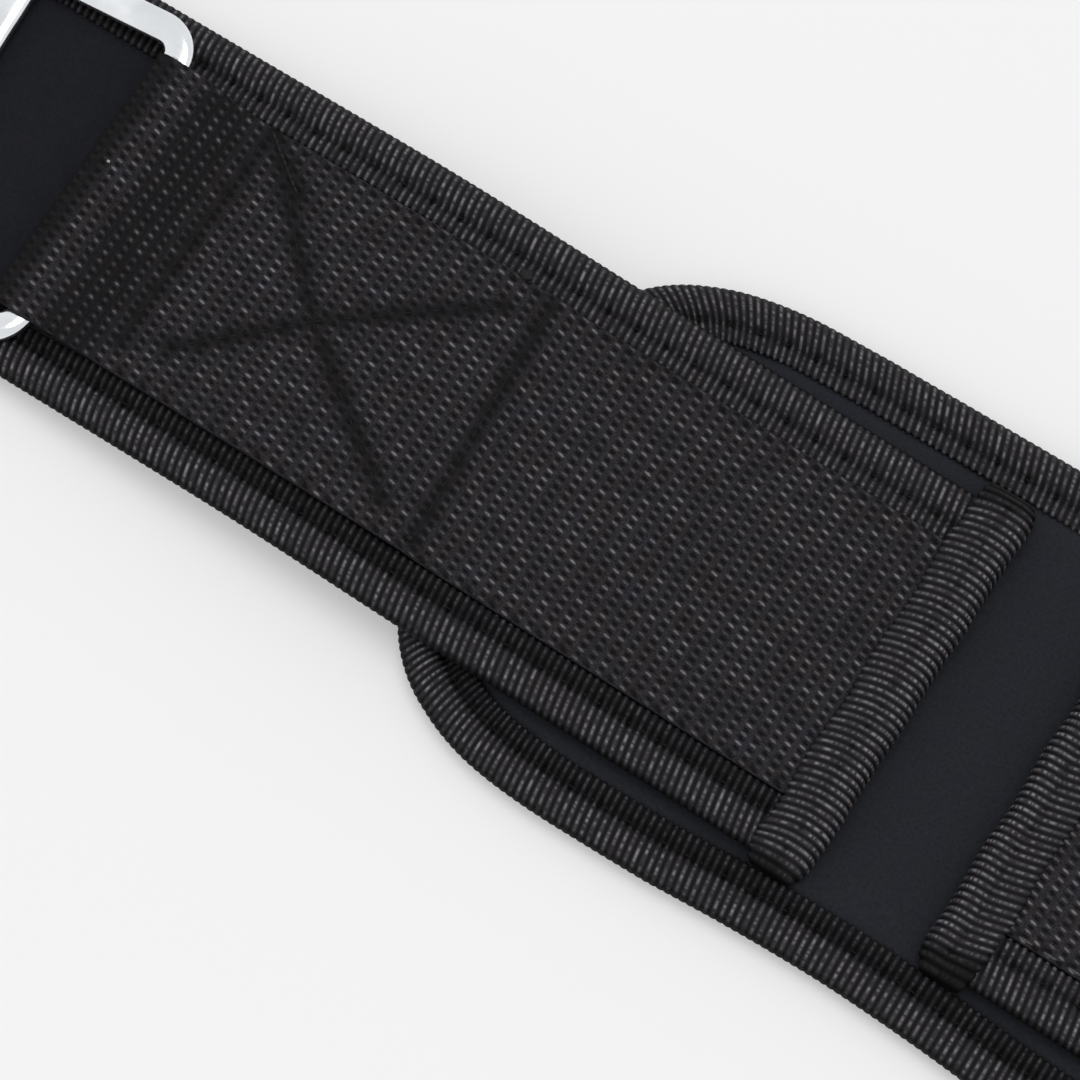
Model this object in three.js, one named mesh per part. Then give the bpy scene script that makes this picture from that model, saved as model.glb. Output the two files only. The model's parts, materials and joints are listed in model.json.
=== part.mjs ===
// A padded weightlifting belt lying open on a table, outer face up, in millimetres.
// X runs along the belt, Y across it and Z up. The origin is on the table,
// under the middle of the lumbar pad.

import * as THREE from 'three';

// Clearance between pieces that touch on the real belt
const clearance = 0.3;

// Lumbar pad: foam under a smooth cover, with a gently bowed middle and round ends
const padLength = 295;
const padWidth = 147.4;
const padThickness = 9.3;
const padEndLength = 73;
const padEndPower = 3;
const padBow = 2.9;
const padBowLength = 180;

// Wings: narrower foam strips sewn on the pad, which sag to the table past its ends
const wingWidth = 107.8;
const wingThickness = 8.5;
const wingReach = 345;
const wingEndLength = 48;
const wingEndPower = 2.6;
const wingRestLength = 15;
const wingPastPad = 1.5;

// Binding: ribbed tape folded round the edges of the pad and the wings
const bindingWall = 1;
const bindingCover = 15.6;
const pressedTaper = 0.15;

// End tapes: ribbed tape rolled over the inner end of each wing
const windowLength = 33.5;
const tapeWidth = 15.7;
const tapeWall = 1;
const tapeRise = 3.8;
const tapeOverhang = 2.6;
const tapeEndPower = 6;
const tapeRollGap = 2.8;
const tapeEndShare = 0.985;

// Webbing: one layer along each wing, doubled behind the ring and sewn down
const webbingWidth = 76.6;
const webbingThickness = 1.8;
const webbingTuck = 7;
const tongueLength = 74.3;
const foldRadius = 3;
const foldSlack = 1.8;
const boxGap = 36;
const boxLength = 88;
const layerRamp = 8;
const seamOpening = 0.05;

// Ring: flat oval section, with a round bar where the webbing holds it
const ringOpeningAlong = 38.5;
const ringOpeningAcross = 83.5;
const ringShift = 0.75;
const ringBarWidth = 8.3;
const ringBarThickness = 4.5;
const ringHeldBar = 4.6;
const ringSquareness = 2.7;
const ringOuterCorner = 12.5;
const ringInnerCorner = 3;
const ringTurn = THREE.MathUtils.degToRad(3.5);

// Closure strap: the right webbing runs on past its wing and lies on the table
const strapFreeLength = 280;
const strapDropLength = 50;
const strapTipCorner = 10;

// Fastening patches on the free strap
const patchWidth = 70;
const patchThickness = 1.5;
const loopPatchLength = 110;
const hookPatchLength = 80;
const hookPatchInset = 8;
const patchSpacing = 12;
const patchCorner = 4;

// How finely curves are cut: the longest stretch along a wing, and steps round each curve
const wingStep = 22;
const edgeSteps = 4;
const padEndSteps = 9;
const wingEndSteps = 8;
const foldSteps = 8;
const tapeSteps = 12;

// Heights and places that follow from the sizes above
const wingLift = padThickness + clearance;
const wingLeaves = padLength / 2 + wingPastPad;
const wingLands = wingReach - wingRestLength;
const tapeNose = windowLength / 2;
const tapeEdge = tapeNose + tapeWidth;
const wingInnerEnd = tapeNose + tapeWall + tapeRollGap;
const webbingBase = wingThickness + clearance;
const webbingStart = tapeEdge - webbingTuck;
const foldReach = wingReach - tongueLength;

const coverMaterial = { color: 0x17191c, roughness: 0.85, metalness: 0 };
const bindingMaterial = { color: 0x1c1b1d, roughness: 0.7, metalness: 0 };
const webbingMaterial = { color: 0x1d1a1b, roughness: 0.75, metalness: 0 };
const ringMaterial = { color: 0xd9dce0, roughness: 0.15, metalness: 1 };
const patchMaterial = { color: 0x141415, roughness: 0.95, metalness: 0 };

// Collects points and triangles of one closed body
class Body {
  constructor() {
    this.points = [];
    this.faces = [];
  }

  // Adds a ring of points and returns their numbers
  ring(points) {
    const first = this.points.length;
    this.points.push(...points);
    return points.map((point, k) => first + k);
  }

  quad(a, b, c, d) {
    this.faces.push([a, b, c], [a, c, d]);
  }

  // Joins two rings of the same length by quads
  band(one, two) {
    one.forEach((point, k) => {
      const next = (k + 1) % one.length;
      this.quad(one[k], one[next], two[next], two[k]);
    });
  }

  // Joins two open rows of the same length by quads
  strip(one, two, flip = false) {
    for (let k = 0; k + 1 < one.length; k++) {
      if (flip) this.quad(two[k], two[k + 1], one[k + 1], one[k]);
      else this.quad(one[k], one[k + 1], two[k + 1], two[k]);
    }
  }

  // Closes a ring whose first half runs out and whose second half runs back beside it
  cap(ring, flip = false) {
    const half = ring.length / 2;
    const back = ring.slice(half).reverse();
    this.strip(ring.slice(0, half), back, flip);
  }

  // Returns the mesh, with every face turned out of the body
  mesh(name, look) {
    let volume = 0;
    const [p, q, r] = [new THREE.Vector3(), new THREE.Vector3(), new THREE.Vector3()];
    for (const [a, b, c] of this.faces) {
      p.fromArray(this.points[a]);
      q.fromArray(this.points[b]);
      r.fromArray(this.points[c]);
      volume += p.dot(q.cross(r));
    }
    const faces = volume < 0 ? this.faces.map(([a, b, c]) => [a, c, b]) : this.faces;
    const geometry = new THREE.BufferGeometry();
    geometry.setAttribute('position', new THREE.Float32BufferAttribute(this.points.flat(), 3));
    geometry.setIndex(faces.flat());
    return named(name, geometry, look);
  }
}

function named(name, geometry, look) {
  geometry.computeVertexNormals();
  const mesh = new THREE.Mesh(geometry, new THREE.MeshStandardMaterial(look));
  mesh.name = name;
  return mesh;
}

function smooth(share) {
  const t = THREE.MathUtils.clamp(share, 0, 1);
  return t * t * (3 - 2 * t);
}

// Height of a wing's underside above the table, at a distance from the belt's middle
function wingHeight(reach) {
  return wingLift * (1 - smooth((reach - wingLeaves) / (wingLands - wingLeaves)));
}

// Distance and height of a point that lies at a height over a sloping underside
function over(underside, reach, height) {
  const step = 0.5;
  const slope = (underside(reach + step) - underside(reach - step)) / (2 * step);
  const length = Math.hypot(1, slope);
  return [reach - (height * slope) / length, underside(reach) + height / length];
}

// Places a point of a wing in the belt's frame; side is -1 on the left and 1 on the right
function onWing(side) {
  return ([reach, across, height]) => {
    const [x, z] = over(wingHeight, reach, height);
    return [side * x, across, z];
  };
}

// Half of a rounded end, from near its point to where its full width begins
function roundedEnd(length, halfWidth, power, steps) {
  const flatShare = 0.2;
  const first = Math.asin(flatShare ** (power / 2));
  return Array.from({ length: steps }, (unused, k) => {
    const angle = first + (k / steps) * (Math.PI / 2 - first);
    return [length * Math.cos(angle) ** (2 / power), halfWidth * Math.sin(angle) ** (2 / power)];
  });
}

// The pad's outline: the upper edge from left to right, then the lower edge back
function padOutline() {
  const straight = padLength / 2 - padEndLength;
  const end = roundedEnd(padEndLength, padWidth / 2, padEndPower, padEndSteps);
  const middleSteps = 10;
  const rows = end.map(([out, half]) => [-straight - out, half]);
  for (let k = 0; k <= middleSteps; k++) {
    rows.push([straight * ((2 * k) / middleSteps - 1), padWidth / 2]);
  }
  rows.push(...end.map(([out, half]) => [straight + out, half]).reverse());
  const bow = (x) => padBow * (1 - smooth(Math.abs(x) / (padBowLength / 2)));
  const upper = rows.map(([x, half]) => [x, bow(x) + half]);
  const lower = rows.map(([x, half]) => [x, bow(x) - half]);
  return [...upper, ...lower.reverse()];
}

// A wing's outline: out along one edge, round the tip and back along the other
function wingOutline() {
  const straight = wingReach - wingEndLength;
  const rows = [[wingInnerEnd, wingWidth / 2]];
  const flatSteps = 4;
  for (let k = 1; k <= flatSteps; k++) {
    rows.push([THREE.MathUtils.lerp(wingInnerEnd, wingLeaves, k / flatSteps), wingWidth / 2]);
  }
  const sagSteps = 9;
  for (let k = 1; k <= sagSteps; k++) {
    rows.push([THREE.MathUtils.lerp(wingLeaves, straight, k / sagSteps), wingWidth / 2]);
  }
  const end = roundedEnd(wingEndLength, wingWidth / 2, wingEndPower, wingEndSteps);
  rows.push(...end.map(([out, half]) => [straight + out, half]).reverse());
  const back = rows.map(([reach, half]) => [reach, -half]).reverse();
  return [...rows, ...back];
}

// Points of an outline moved inwards; an open outline keeps its two ends in line
function inset(outline, closed) {
  const count = outline.length;
  const at = (k) => new THREE.Vector2(...outline[(k + count) % count]);
  const normals = outline.map((point, k) => {
    const before = closed || k > 0 ? at(k).sub(at(k - 1)).normalize() : null;
    const after = closed || k < count - 1 ? at(k + 1).sub(at(k)).normalize() : null;
    const along = new THREE.Vector2();
    if (before) along.add(before);
    if (after) along.add(after);
    along.normalize();
    return [along.y, -along.x];
  });
  return (distance) => outline.map(([x, y], k) => [
    x + distance * normals[k][0],
    y + distance * normals[k][1],
  ]);
}

// Half circle of an edge seen in section: distance in from the edge, and height
function edgeArc(radius, wall, steps) {
  return Array.from({ length: steps + 1 }, (unused, k) => {
    const angle = Math.PI / 2 - (k / steps) * Math.PI;
    return [radius - (radius - wall) * Math.cos(angle), radius + (radius - wall) * Math.sin(angle)];
  });
}

// A foam panel: its rim is pressed in where the binding covers it
function panel(name, outline, closed, thickness, place) {
  const rim = thickness / 2;
  const pressed = bindingWall + clearance;
  const lowered = 1 - pressedTaper / rim;
  const edge = edgeArc(rim, pressed, edgeSteps).map(([u, h]) => [u, rim + (h - rim) * lowered]);
  const section = [
    [bindingCover + clearance, thickness],
    [bindingCover + clearance, thickness - pressed],
    ...edge,
    [bindingCover + clearance, pressed],
    [bindingCover + clearance, 0],
  ];
  const moved = inset(outline, closed);
  const body = new Body();
  const rings = section.map(([u, h]) => body.ring(moved(u).map(([x, y]) => place([x, y, h]))));
  rings.slice(1).forEach((ring, k) => body.band(rings[k], ring));
  body.cap(rings[0], true);
  body.cap(rings[rings.length - 1]);
  return body.mesh(name, coverMaterial);
}

// Binding folded round a panel's edge
function edgeBinding(name, outline, closed, thickness, place) {
  const rim = thickness / 2;
  const outer = [[bindingCover, thickness], ...edgeArc(rim, 0, edgeSteps), [bindingCover, 0]];
  const inner = [
    [bindingCover, thickness - bindingWall],
    ...edgeArc(rim, bindingWall, edgeSteps),
    [bindingCover, bindingWall],
  ];
  const section = [...outer, ...inner.reverse()];
  const moved = inset(outline, closed);
  const rows = section.map(([u, h]) => moved(u).map(([x, y]) => place([x, y, h])));
  const body = new Body();
  const stations = outline.map((point, k) => body.ring(rows.map((row) => row[k])));
  stations.slice(1).forEach((station, k) => body.band(stations[k], station));
  if (closed) body.band(stations[stations.length - 1], stations[0]);
  else {
    body.cap(stations[0], true);
    body.cap(stations[stations.length - 1]);
  }
  return body.mesh(name, bindingMaterial);
}

// Section of an end tape, from its foot on the pad over the nose to its edge on the
// webbing: shares of the tape's width from the nose, and of its height
const tapeSection = [
  { width: 0.0, height: 0.0 },
  { width: 0.0, height: 0.35 },
  { width: 0.03, height: 0.6 },
  { width: 0.13, height: 0.81 },
  { width: 0.3, height: 0.95 },
  { width: 0.52, height: 1.0 },
  { width: 0.78, height: 0.995 },
  { width: 1.0, height: 0.97 },
];

// An end tape: one wall, rolled over the wing's end and down over its two corners
function endTape(name, side) {
  const height = wingThickness + tapeRise;
  const outer = tapeSection.map((row) => [tapeNose + row.width * tapeWidth, row.height * height]);
  const inner = inset(outer, false)(tapeWall);
  inner[0][1] = 0;
  const halfLength = wingWidth / 2 + tapeOverhang;
  const place = onWing(side);
  const body = new Body();
  const stations = [];
  for (let k = 0; k <= tapeSteps; k++) {
    const share = -Math.cos((k / tapeSteps) * Math.PI) * tapeEndShare;
    const drape = (1 - Math.abs(share) ** tapeEndPower) ** (1 / tapeEndPower);
    const outerRow = outer.map(([reach, h]) => place([reach, share * halfLength, h * drape]));
    const innerRow = inner.map(([reach, h]) => (
      place([reach, share * (halfLength - tapeWall), h * drape])
    ));
    stations.push(body.ring([...outerRow, ...innerRow.reverse()]));
  }
  stations.slice(1).forEach((station, k) => body.band(stations[k], station));
  body.cap(stations[0], true);
  body.cap(stations[tapeSteps]);
  return body.mesh(name, bindingMaterial);
}

// The fold that holds the ring, as reach and height over the wing's underside
const foldOuter = foldRadius + webbingThickness;
const foldAxisHeight = webbingBase + foldOuter;
const foldAxisReach = foldReach - foldOuter;
const foldInnerReach = foldAxisReach - webbingWidth * Math.tan(ringTurn) - foldSlack;
const boxOuterSeam = foldReach - boxGap;
const boxInnerSeam = boxOuterSeam - boxLength;

// A row of points at one height over the wing
function along(from, to, height) {
  const steps = Math.max(1, Math.round(Math.abs(to - from) / wingStep));
  return Array.from({ length: steps + 1 }, (unused, k) => [
    THREE.MathUtils.lerp(from, to, k / steps),
    height,
  ]);
}

// Loop round the ring's bar: up from the box's seam, over the bar and back under it
function foldProfile(radius, seamHeight) {
  const run = foldInnerReach - boxOuterSeam;
  const climb = foldAxisHeight - seamHeight;
  const tangent = Math.atan2(climb, run) + Math.asin(radius / Math.hypot(climb, run));
  const turn = (centre, from, to, steps) => Array.from({ length: steps + 1 }, (unused, k) => {
    const angle = THREE.MathUtils.lerp(from, to, k / steps);
    return [centre + radius * Math.cos(angle), foldAxisHeight + radius * Math.sin(angle)];
  });
  return [
    [boxOuterSeam, seamHeight],
    ...turn(foldInnerReach, tangent + Math.PI / 2, Math.PI / 2, 2),
    ...turn(foldAxisReach, Math.PI / 2, -Math.PI / 2, foldSteps),
  ];
}

// Left webbing: along the wing, round the ring's bar and back under itself to the box
function webbingLeft() {
  const onePly = webbingBase + webbingThickness;
  const twoPly = onePly + webbingThickness;
  const outline = [
    ...along(webbingStart, boxInnerSeam - layerRamp, onePly),
    ...along(boxInnerSeam, boxOuterSeam, twoPly).slice(0, -1),
    ...foldProfile(foldOuter, twoPly),
    ...along(foldAxisReach, webbingStart, webbingBase).slice(1),
  ];
  const hole = foldProfile(foldRadius, onePly + seamOpening);
  const toWorld = ([reach, height]) => {
    const [x, z] = over(wingHeight, reach, height);
    return new THREE.Vector2(-x, z);
  };
  const shape = new THREE.Shape(outline.map(toWorld));
  shape.holes.push(new THREE.Path(hole.map(toWorld)));
  const geometry = new THREE.ExtrudeGeometry(shape, { depth: webbingWidth, bevelEnabled: false });
  geometry.rotateX(Math.PI / 2);
  geometry.translate(0, webbingWidth / 2, 0);
  return named('webbing_left', geometry, webbingMaterial);
}

// The ring's own frame: its held bar's axis at the origin, its far bar along +X
const ringBarReach = (foldInnerReach + foldAxisReach) / 2;
const ringReach = ringBarWidth + ringOpeningAlong;

// Inner and outer edge points of the ring's bar, round one half of the ring
function ringHalf() {
  const halfBar = ringBarWidth / 2;
  const halfOpening = ringOpeningAcross / 2;
  const held = webbingWidth / 2 + ringShift + clearance;
  const quarter = Math.PI / 2;
  const inner = [[ringHeldBar / 2, held]];
  const outer = [[-ringHeldBar / 2, held]];
  const corner = (nearP, farP, side, radius, row) => {
    const steps = 5;
    for (let k = 1; k <= steps; k++) {
      const angle = quarter * (k / steps);
      row.push([nearP + radius * (1 - Math.cos(angle)), side - radius * (1 - Math.sin(angle))]);
    }
    for (let k = 0; k <= steps; k++) {
      const angle = quarter * (k / steps);
      row.push([farP - radius * (1 - Math.sin(angle)), side - radius * (1 - Math.cos(angle))]);
    }
  };
  corner(halfBar, ringReach - halfBar, halfOpening, ringInnerCorner, inner);
  corner(-halfBar, ringReach + halfBar, halfOpening + ringBarWidth, ringOuterCorner, outer);
  return inner.map((point, k) => ({ inner: point, outer: outer[k] }));
}

// The ring: a flat oval bar bent to a rounded rectangle
function ring() {
  const corners = 12;
  const ovalPower = 2 / ringSquareness;
  const oval = Array.from({ length: corners }, (unused, k) => {
    const angle = ((k + 0.5) / corners) * 2 * Math.PI;
    const shape = (value) => Math.sign(value) * Math.abs(value) ** ovalPower;
    return [shape(Math.cos(angle)), shape(Math.sin(angle))];
  });
  const half = ringHalf();
  const flip = ([p, q]) => [p, -q];
  const mirrored = half.map(({ inner, outer }) => ({ inner: flip(inner), outer: flip(outer) }));
  const stations = [...half, ...mirrored.reverse()];
  const body = new Body();
  const rings = stations.map(({ inner, outer }, k) => {
    const held = k === 0 || k === stations.length - 1;
    const halfHeight = (held ? ringHeldBar : ringBarThickness) / 2;
    return body.ring(oval.map(([across, up]) => [
      (inner[0] + outer[0]) / 2 + (across * (inner[0] - outer[0])) / 2,
      (inner[1] + outer[1]) / 2 + (across * (inner[1] - outer[1])) / 2,
      up * halfHeight,
    ]));
  });
  rings.forEach((one, k) => body.band(one, rings[(k + 1) % rings.length]));
  return body.mesh('ring', ringMaterial);
}

// Puts the ring in the fold, its far bar resting on the wing
function ringInPlace() {
  const [axisX, axisZ] = over(wingHeight, ringBarReach, foldAxisHeight);
  const restHeight = wingThickness + clearance + ringBarThickness / 2;
  const [farX, farZ] = over(wingHeight, ringBarReach + ringReach, restHeight);
  const mesh = ring();
  mesh.rotation.set(0, Math.atan2(axisZ - farZ, farX - axisX), Math.PI + ringTurn, 'ZYX');
  mesh.position.set(-axisX, ringShift, axisZ);
  return mesh;
}

// Underside of the closure strap: over the right wing, down past its tip to the table
function strapHeight(reach) {
  const dropShare = smooth((reach - wingReach) / strapDropLength);
  return (wingHeight(reach) + webbingBase) * (1 - dropShare);
}

// A flat piece that follows the strap, with its two far corners rounded
function ribbon(name, from, to, width, lift, thickness, tipCorner, look) {
  const body = new Body();
  const straight = to - tipCorner;
  const steps = Math.max(1, Math.round((straight - from) / wingStep));
  const rows = Array.from({ length: steps + 1 }, (unused, k) => [
    THREE.MathUtils.lerp(from, straight, k / steps),
    width / 2,
  ]);
  const tipSteps = 4;
  for (let k = 1; k <= tipSteps; k++) {
    const angle = (Math.PI / 2) * (k / tipSteps);
    rows.push([
      straight + tipCorner * Math.sin(angle),
      width / 2 - tipCorner * (1 - Math.cos(angle)),
    ]);
  }
  const sections = rows.map(([reach, half]) => {
    const [lowX, lowZ] = over(strapHeight, reach, lift);
    const [highX, highZ] = over(strapHeight, reach, lift + thickness);
    return body.ring([
      [lowX, -half, lowZ],
      [lowX, half, lowZ],
      [highX, half, highZ],
      [highX, -half, highZ],
    ]);
  });
  sections.slice(1).forEach((section, k) => body.band(sections[k], section));
  body.quad(...[...sections[0]].reverse());
  body.quad(...sections[sections.length - 1]);
  return body.mesh(name, look);
}

const strapTip = wingReach + strapFreeLength;
const loopPatchStart = wingReach + strapDropLength + patchSpacing;
const hookPatchEnd = strapTip - hookPatchInset;
const patchLift = webbingThickness + clearance;
const patch = (name, from, length) => (
  ribbon(name, from, from + length, patchWidth, patchLift, patchThickness, patchCorner, patchMaterial)
);

const belt = new THREE.Group();
belt.add(
  panel('lumbar_pad', padOutline(), true, padThickness, (point) => point),
  edgeBinding('pad_binding', padOutline(), true, padThickness, (point) => point),
);
for (const [label, side] of [['left', -1], ['right', 1]]) {
  belt.add(
    panel(`wing_${label}`, wingOutline(), false, wingThickness, onWing(side)),
    edgeBinding(`wing_binding_${label}`, wingOutline(), false, wingThickness, onWing(side)),
    endTape(`end_tape_${label}`, side),
  );
}
belt.add(
  webbingLeft(),
  ringInPlace(),
  ribbon(
    'closure_strap', webbingStart, strapTip, webbingWidth, 0, webbingThickness, strapTipCorner,
    webbingMaterial,
  ),
  patch('loop_patch', loopPatchStart, loopPatchLength),
  patch('hook_patch', hookPatchEnd - hookPatchLength, hookPatchLength),
);

export default belt;
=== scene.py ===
"""Looks of a padded weightlifting belt that lies open on a pale table, for Blender 4.5.

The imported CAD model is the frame. Lengths are in metres: X runs along the belt, Y across it and
Z up, and the origin is on the table under the middle of the lumbar pad. A piece of a wing is
shaped on a level bench first, with X along the belt and Z over the wing's underside, and
let_down() then lowers it over the pad's end to the table.
"""

import json
import math

import bpy
import numpy as np
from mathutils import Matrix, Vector


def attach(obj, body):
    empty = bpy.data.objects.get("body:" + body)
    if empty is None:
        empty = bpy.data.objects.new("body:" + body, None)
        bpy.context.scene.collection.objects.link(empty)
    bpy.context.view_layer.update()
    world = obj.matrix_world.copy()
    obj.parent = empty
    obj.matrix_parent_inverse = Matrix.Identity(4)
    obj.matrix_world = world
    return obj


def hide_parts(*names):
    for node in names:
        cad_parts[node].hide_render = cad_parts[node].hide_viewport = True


# View and light
CAMERA_TARGET = (-0.12045, -0.0125, 0)
CAMERA_DISTANCE = 1.2
CAMERA_TILT = math.radians(15)
CAMERA_TURN = math.radians(33)
CAMERA_LENS = 157.2
WORLD_STRENGTH = 0.84
LAMP_TILT = math.radians(14)
LAMP_TURN = math.radians(172)
LAMP_POWER = 0.86
LAMP_SPREAD = math.radians(40)

# Sizes of the frame's solids, as its source gives them
PAD_LENGTH = 0.295
PAD_WIDTH = 0.1474
PAD_THICKNESS = 0.0093
PAD_END_LENGTH = 0.073
PAD_END_POWER = 3
PAD_BOW = 0.0029
PAD_BOW_LENGTH = 0.18
CLEARANCE = 0.0003
WING_WIDTH = 0.1078
WING_THICKNESS = 0.0085
WING_REACH = 0.345
WING_END_LENGTH = 0.048
WING_END_POWER = 2.6
WING_INNER_END = 0.02055
WING_LIFT = PAD_THICKNESS + CLEARANCE
WING_LEAVES = PAD_LENGTH / 2 + 0.0015
WING_LANDS = WING_REACH - 0.015
BINDING_COVER = 0.0156
TAPE_NOSE = 0.01675
TAPE_WIDTH = 0.0157
TAPE_HEIGHT = 0.0123
WEBBING_WIDTH = 0.0766
WEBBING_THICKNESS = 0.0018
WEBBING_START = 0.02545
WEBBING_BASE = WING_THICKNESS + CLEARANCE
BOX_INNER_SEAM = 0.1467
BOX_OUTER_SEAM = 0.2347
LAYER_RAMP = 0.008
FOLD_FLAT_REACH = 0.2594
FOLD_AXIS_REACH = 0.2659
FOLD_AXIS_HEIGHT = 0.0136
FOLD_RADIUS = 0.0039
STRAP_TIP = 0.625
STRAP_DROP = 0.05
STRAP_TIP_CORNER = 0.010
PATCH_WIDTH = 0.070
PATCH_BASE = 0.0021
PATCH_THICKNESS = 0.0015
LOOP_PATCH = (0.407, 0.517)
HOOK_PATCH = (0.537, 0.617)

RING_ALONG = 0.0385
RING_ACROSS = 0.0835
RING_SHIFT = 0.00075
RING_BAR_WIDTH = 0.0083
RING_BAR_THICKNESS = 0.0045
RING_HELD_BAR = 0.0046
RING_OUTER_CORNER = 0.0125
RING_INNER_CORNER = 0.003
RING_TURN = math.radians(3.5)
RING_SQUARENESS = 2.7
RING_BAR_REACH = 0.2626576

# Pitches of ribs, weave and stitches, and sizes of the detail that only this scene has
RIB_PITCH = 0.00214
WEAVE_ALONG = 0.0070
WEAVE_ROWS = 30
WEAVE_ACROSS = WEBBING_WIDTH / WEAVE_ROWS
WEAVE_RELIEF = 0.00055
# sizes of each float's painted highlight glint and of the painted shade in the gap beside it, as shares of
# the float's spacing
GLINT_HALF_LENGTH = 0.36
GLINT_HALF_WIDTH = 0.18
GAP_HALF_LENGTH = 0.36
GAP_HALF_WIDTH = 0.20
FLOAT_SLANT = 0.22
STITCH_INSET = 0.0103
DIMPLE_PITCH = 0.0089
THREAD_PITCH = 0.0034
TAPE_STITCH = 0.0070
TAPE_LONG_END = 0.0600
TAPE_SHORT_END = 0.0560
TAPE_ROUNDING = 0.0085
FOAM_CELL = 0.0032
PATCH_SEAM = 0.003
HOOK_ROWS = 31
HOOK_COLUMNS = 37
BOX_SEAM_HALF_WIDTH = 0.0026
CREASE_HALF_WIDTH = 0.0036
SIDE_SEAM = 0.0368
SIDE_THREAD = 0.0373
SIDE_SEAM_START = 0.034
LEFT_SEAM_END = 0.236
STRAP_SEAM_END = 0.330
SIDE_STITCH = {"pitch": 0.0070, "thick": 0.0007, "long": 0.0046}
BOX_STITCH = {"pitch": 0.0037, "thick": 0.0005, "long": 0.0027}
BRAID_STITCH = {"pitch": 0.0019, "thick": 0.0014, "long": 0.0026}
LEFT_REPEATS = 53
STRAP_REPEATS = 86
SEAM_HEIGHT = 0.875

# How much fuller the pad's upper and lower edges are in the photo, by the distance from its middle
PAD_FULLER = (
    (0.000, 0.0, 0.0), (0.030, 0.0004, 0.0002), (0.050, 0.0009, 0.0006), (0.070, 0.0012, 0.0002),
    (0.090, 0.0008, -0.0001), (0.105, 0.0001, -0.0002), (0.120, -0.0004, -0.0006), (0.140, 0.0, 0.0),
)
WING_SWAY = 0.0008

# Section of a folded binding: distance in from the edge, and height as a share of the foam's
# thickness, from its upper inner edge round the outside and back along its inner wall
BINDING_OUTSIDE = (
    (0.0156, 0.97), (0.0150, 1.02), (0.0133, 1.03), (0.0119, 1.01), (0.0111, 0.97),
    (0.0103, 0.91), (0.0095, 0.96), (0.0084, 1.02), (0.0066, 1.05), (0.0048, 1.03),
    (0.0031, 0.96), (0.0017, 0.84), (0.0006, 0.68), (0.0000, 0.50), (0.0006, 0.32),
    (0.0020, 0.17), (0.0042, 0.09), (0.0080, 0.07), (0.0156, 0.07),
)
BINDING_INSIDE = ((0.0152, 0.22), (0.0050, 0.24), (0.0024, 0.50), (0.0050, 0.70), (0.0152, 0.74))

# Section of an end tape: distance from its nose, and height as a share of its full height
TAPE_OUTSIDE = (
    (0.0000, 0.00), (-0.0003, 0.20), (-0.0004, 0.42), (0.0000, 0.64), (0.0011, 0.82), (0.0026, 0.93),
    (0.0044, 0.965), (0.0060, 0.970), (0.0066, 0.966), (0.0070, 0.958), (0.0074, 0.968),
    (0.0082, 0.980), (0.0105, 1.00), (0.0128, 0.995), (0.0147, 0.96), (0.0157, 0.90),
)
TAPE_INSIDE = (
    (0.0151, 0.82), (0.0105, 0.86), (0.0070, 0.78), (0.0030, 0.76), (0.0015, 0.60), (0.0012, 0.30),
    (0.0012, 0.00),
)

# Seams of the box and cross, as pairs of ends on the laid webbing: distance from the belt's
# middle, and place across
BOX_SEAMS = (
    ((0.2341, 0.0330), (0.2354, -0.0300)),
    ((0.1487, 0.0355), (0.1443, -0.0344)),
    ((0.2330, 0.0375), (0.1965, -0.0004)),
    ((0.1965, -0.0004), (0.1570, -0.0295)),
    ((0.1590, 0.0290), (0.1965, -0.0004)),
    ((0.1965, -0.0004), (0.2230, -0.0250)),
)
CREASE = ((0.2335, 0.0372), (0.2190, 0.0265))

# Lumps of thread where the seams were locked: distance from the belt's middle, place across, size
KNOTS = ((0.1580, 0.0392, 0.0036), (0.2194, 0.0372, 0.0018), (0.1450, -0.0345, 0.0020))

# Bends of one hook, from its foot: the way to the next ring of points, and how far it leans
HOOK_BENDS = (
    ((0, 0, 0.0005), 0), ((0.00012, 0, 0.00030), 0.7), ((0.00034, 0, 0.00006), 0.9),
    ((0.00022, 0, -0.00024), 0.8),
)

# Lean of the ribs round the pad: share of the way round from under the right wing, and lean
PAD_LEAN = (
    (0, 0.30), (0.10, 0.30), (0.25, 0.20), (0.31, 0.36), (0.386, 0.36), (0.45, 0.50), (0.50, 0.40),
    (0.55, 0.35), (0.614, 0.18), (0.75, 0.05), (0.90, 0.18), (1, 0.30),
)
WING_LEAN = 0.18

# How brightly the tape is painted, by distance in from the edge of a binding or out from the nose: painted
# shade at the outer edge and the stitch line, painted highlight on the roll's crown and the nose
BINDING_PAINTED_LIGHT = (
    (0.0000, 0.00), (0.0009, 0.05), (0.0018, 0.65), (0.0035, 1.00), (0.0065, 0.85), (0.0090, 0.55),
    (0.0103, 0.30), (0.0114, 0.45), (0.0132, 0.70), (0.0148, 1.10), (0.0156, 0.50),
)
TAPE_PAINTED_LIGHT = (
    (-0.0004, 0.60), (0.0006, 1.35), (0.0020, 1.50), (0.0045, 1.15), (0.0062, 0.85), (0.0070, 0.70),
    (0.0078, 0.75), (0.0095, 0.85), (0.0135, 0.85), (0.0150, 0.60), (0.0157, 0.25),
)

# How high each stretch of a rib stands: share of the pitch, and height over the section
RIB_PROFILE = ((0.0, -0.00060), (0.2, -0.00012), (0.4, 0.00014), (0.6, 0.00014), (0.8, -0.00012))


# small tools


def only(piece):
    """Leaves just this piece selected and active."""
    bpy.ops.object.select_all(action="DESELECT")
    piece.select_set(True)
    bpy.context.view_layer.objects.active = piece


def edit(piece):
    """Starts edit mode with all of the piece selected."""
    only(piece)
    bpy.ops.object.mode_set(mode="EDIT")
    bpy.ops.mesh.select_all(action="SELECT")


def done():
    bpy.ops.object.mode_set(mode="OBJECT")


def added(name):
    """Names the primitive that was just added."""
    piece = bpy.context.object
    piece.name = piece.data.name = name
    return piece


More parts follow.
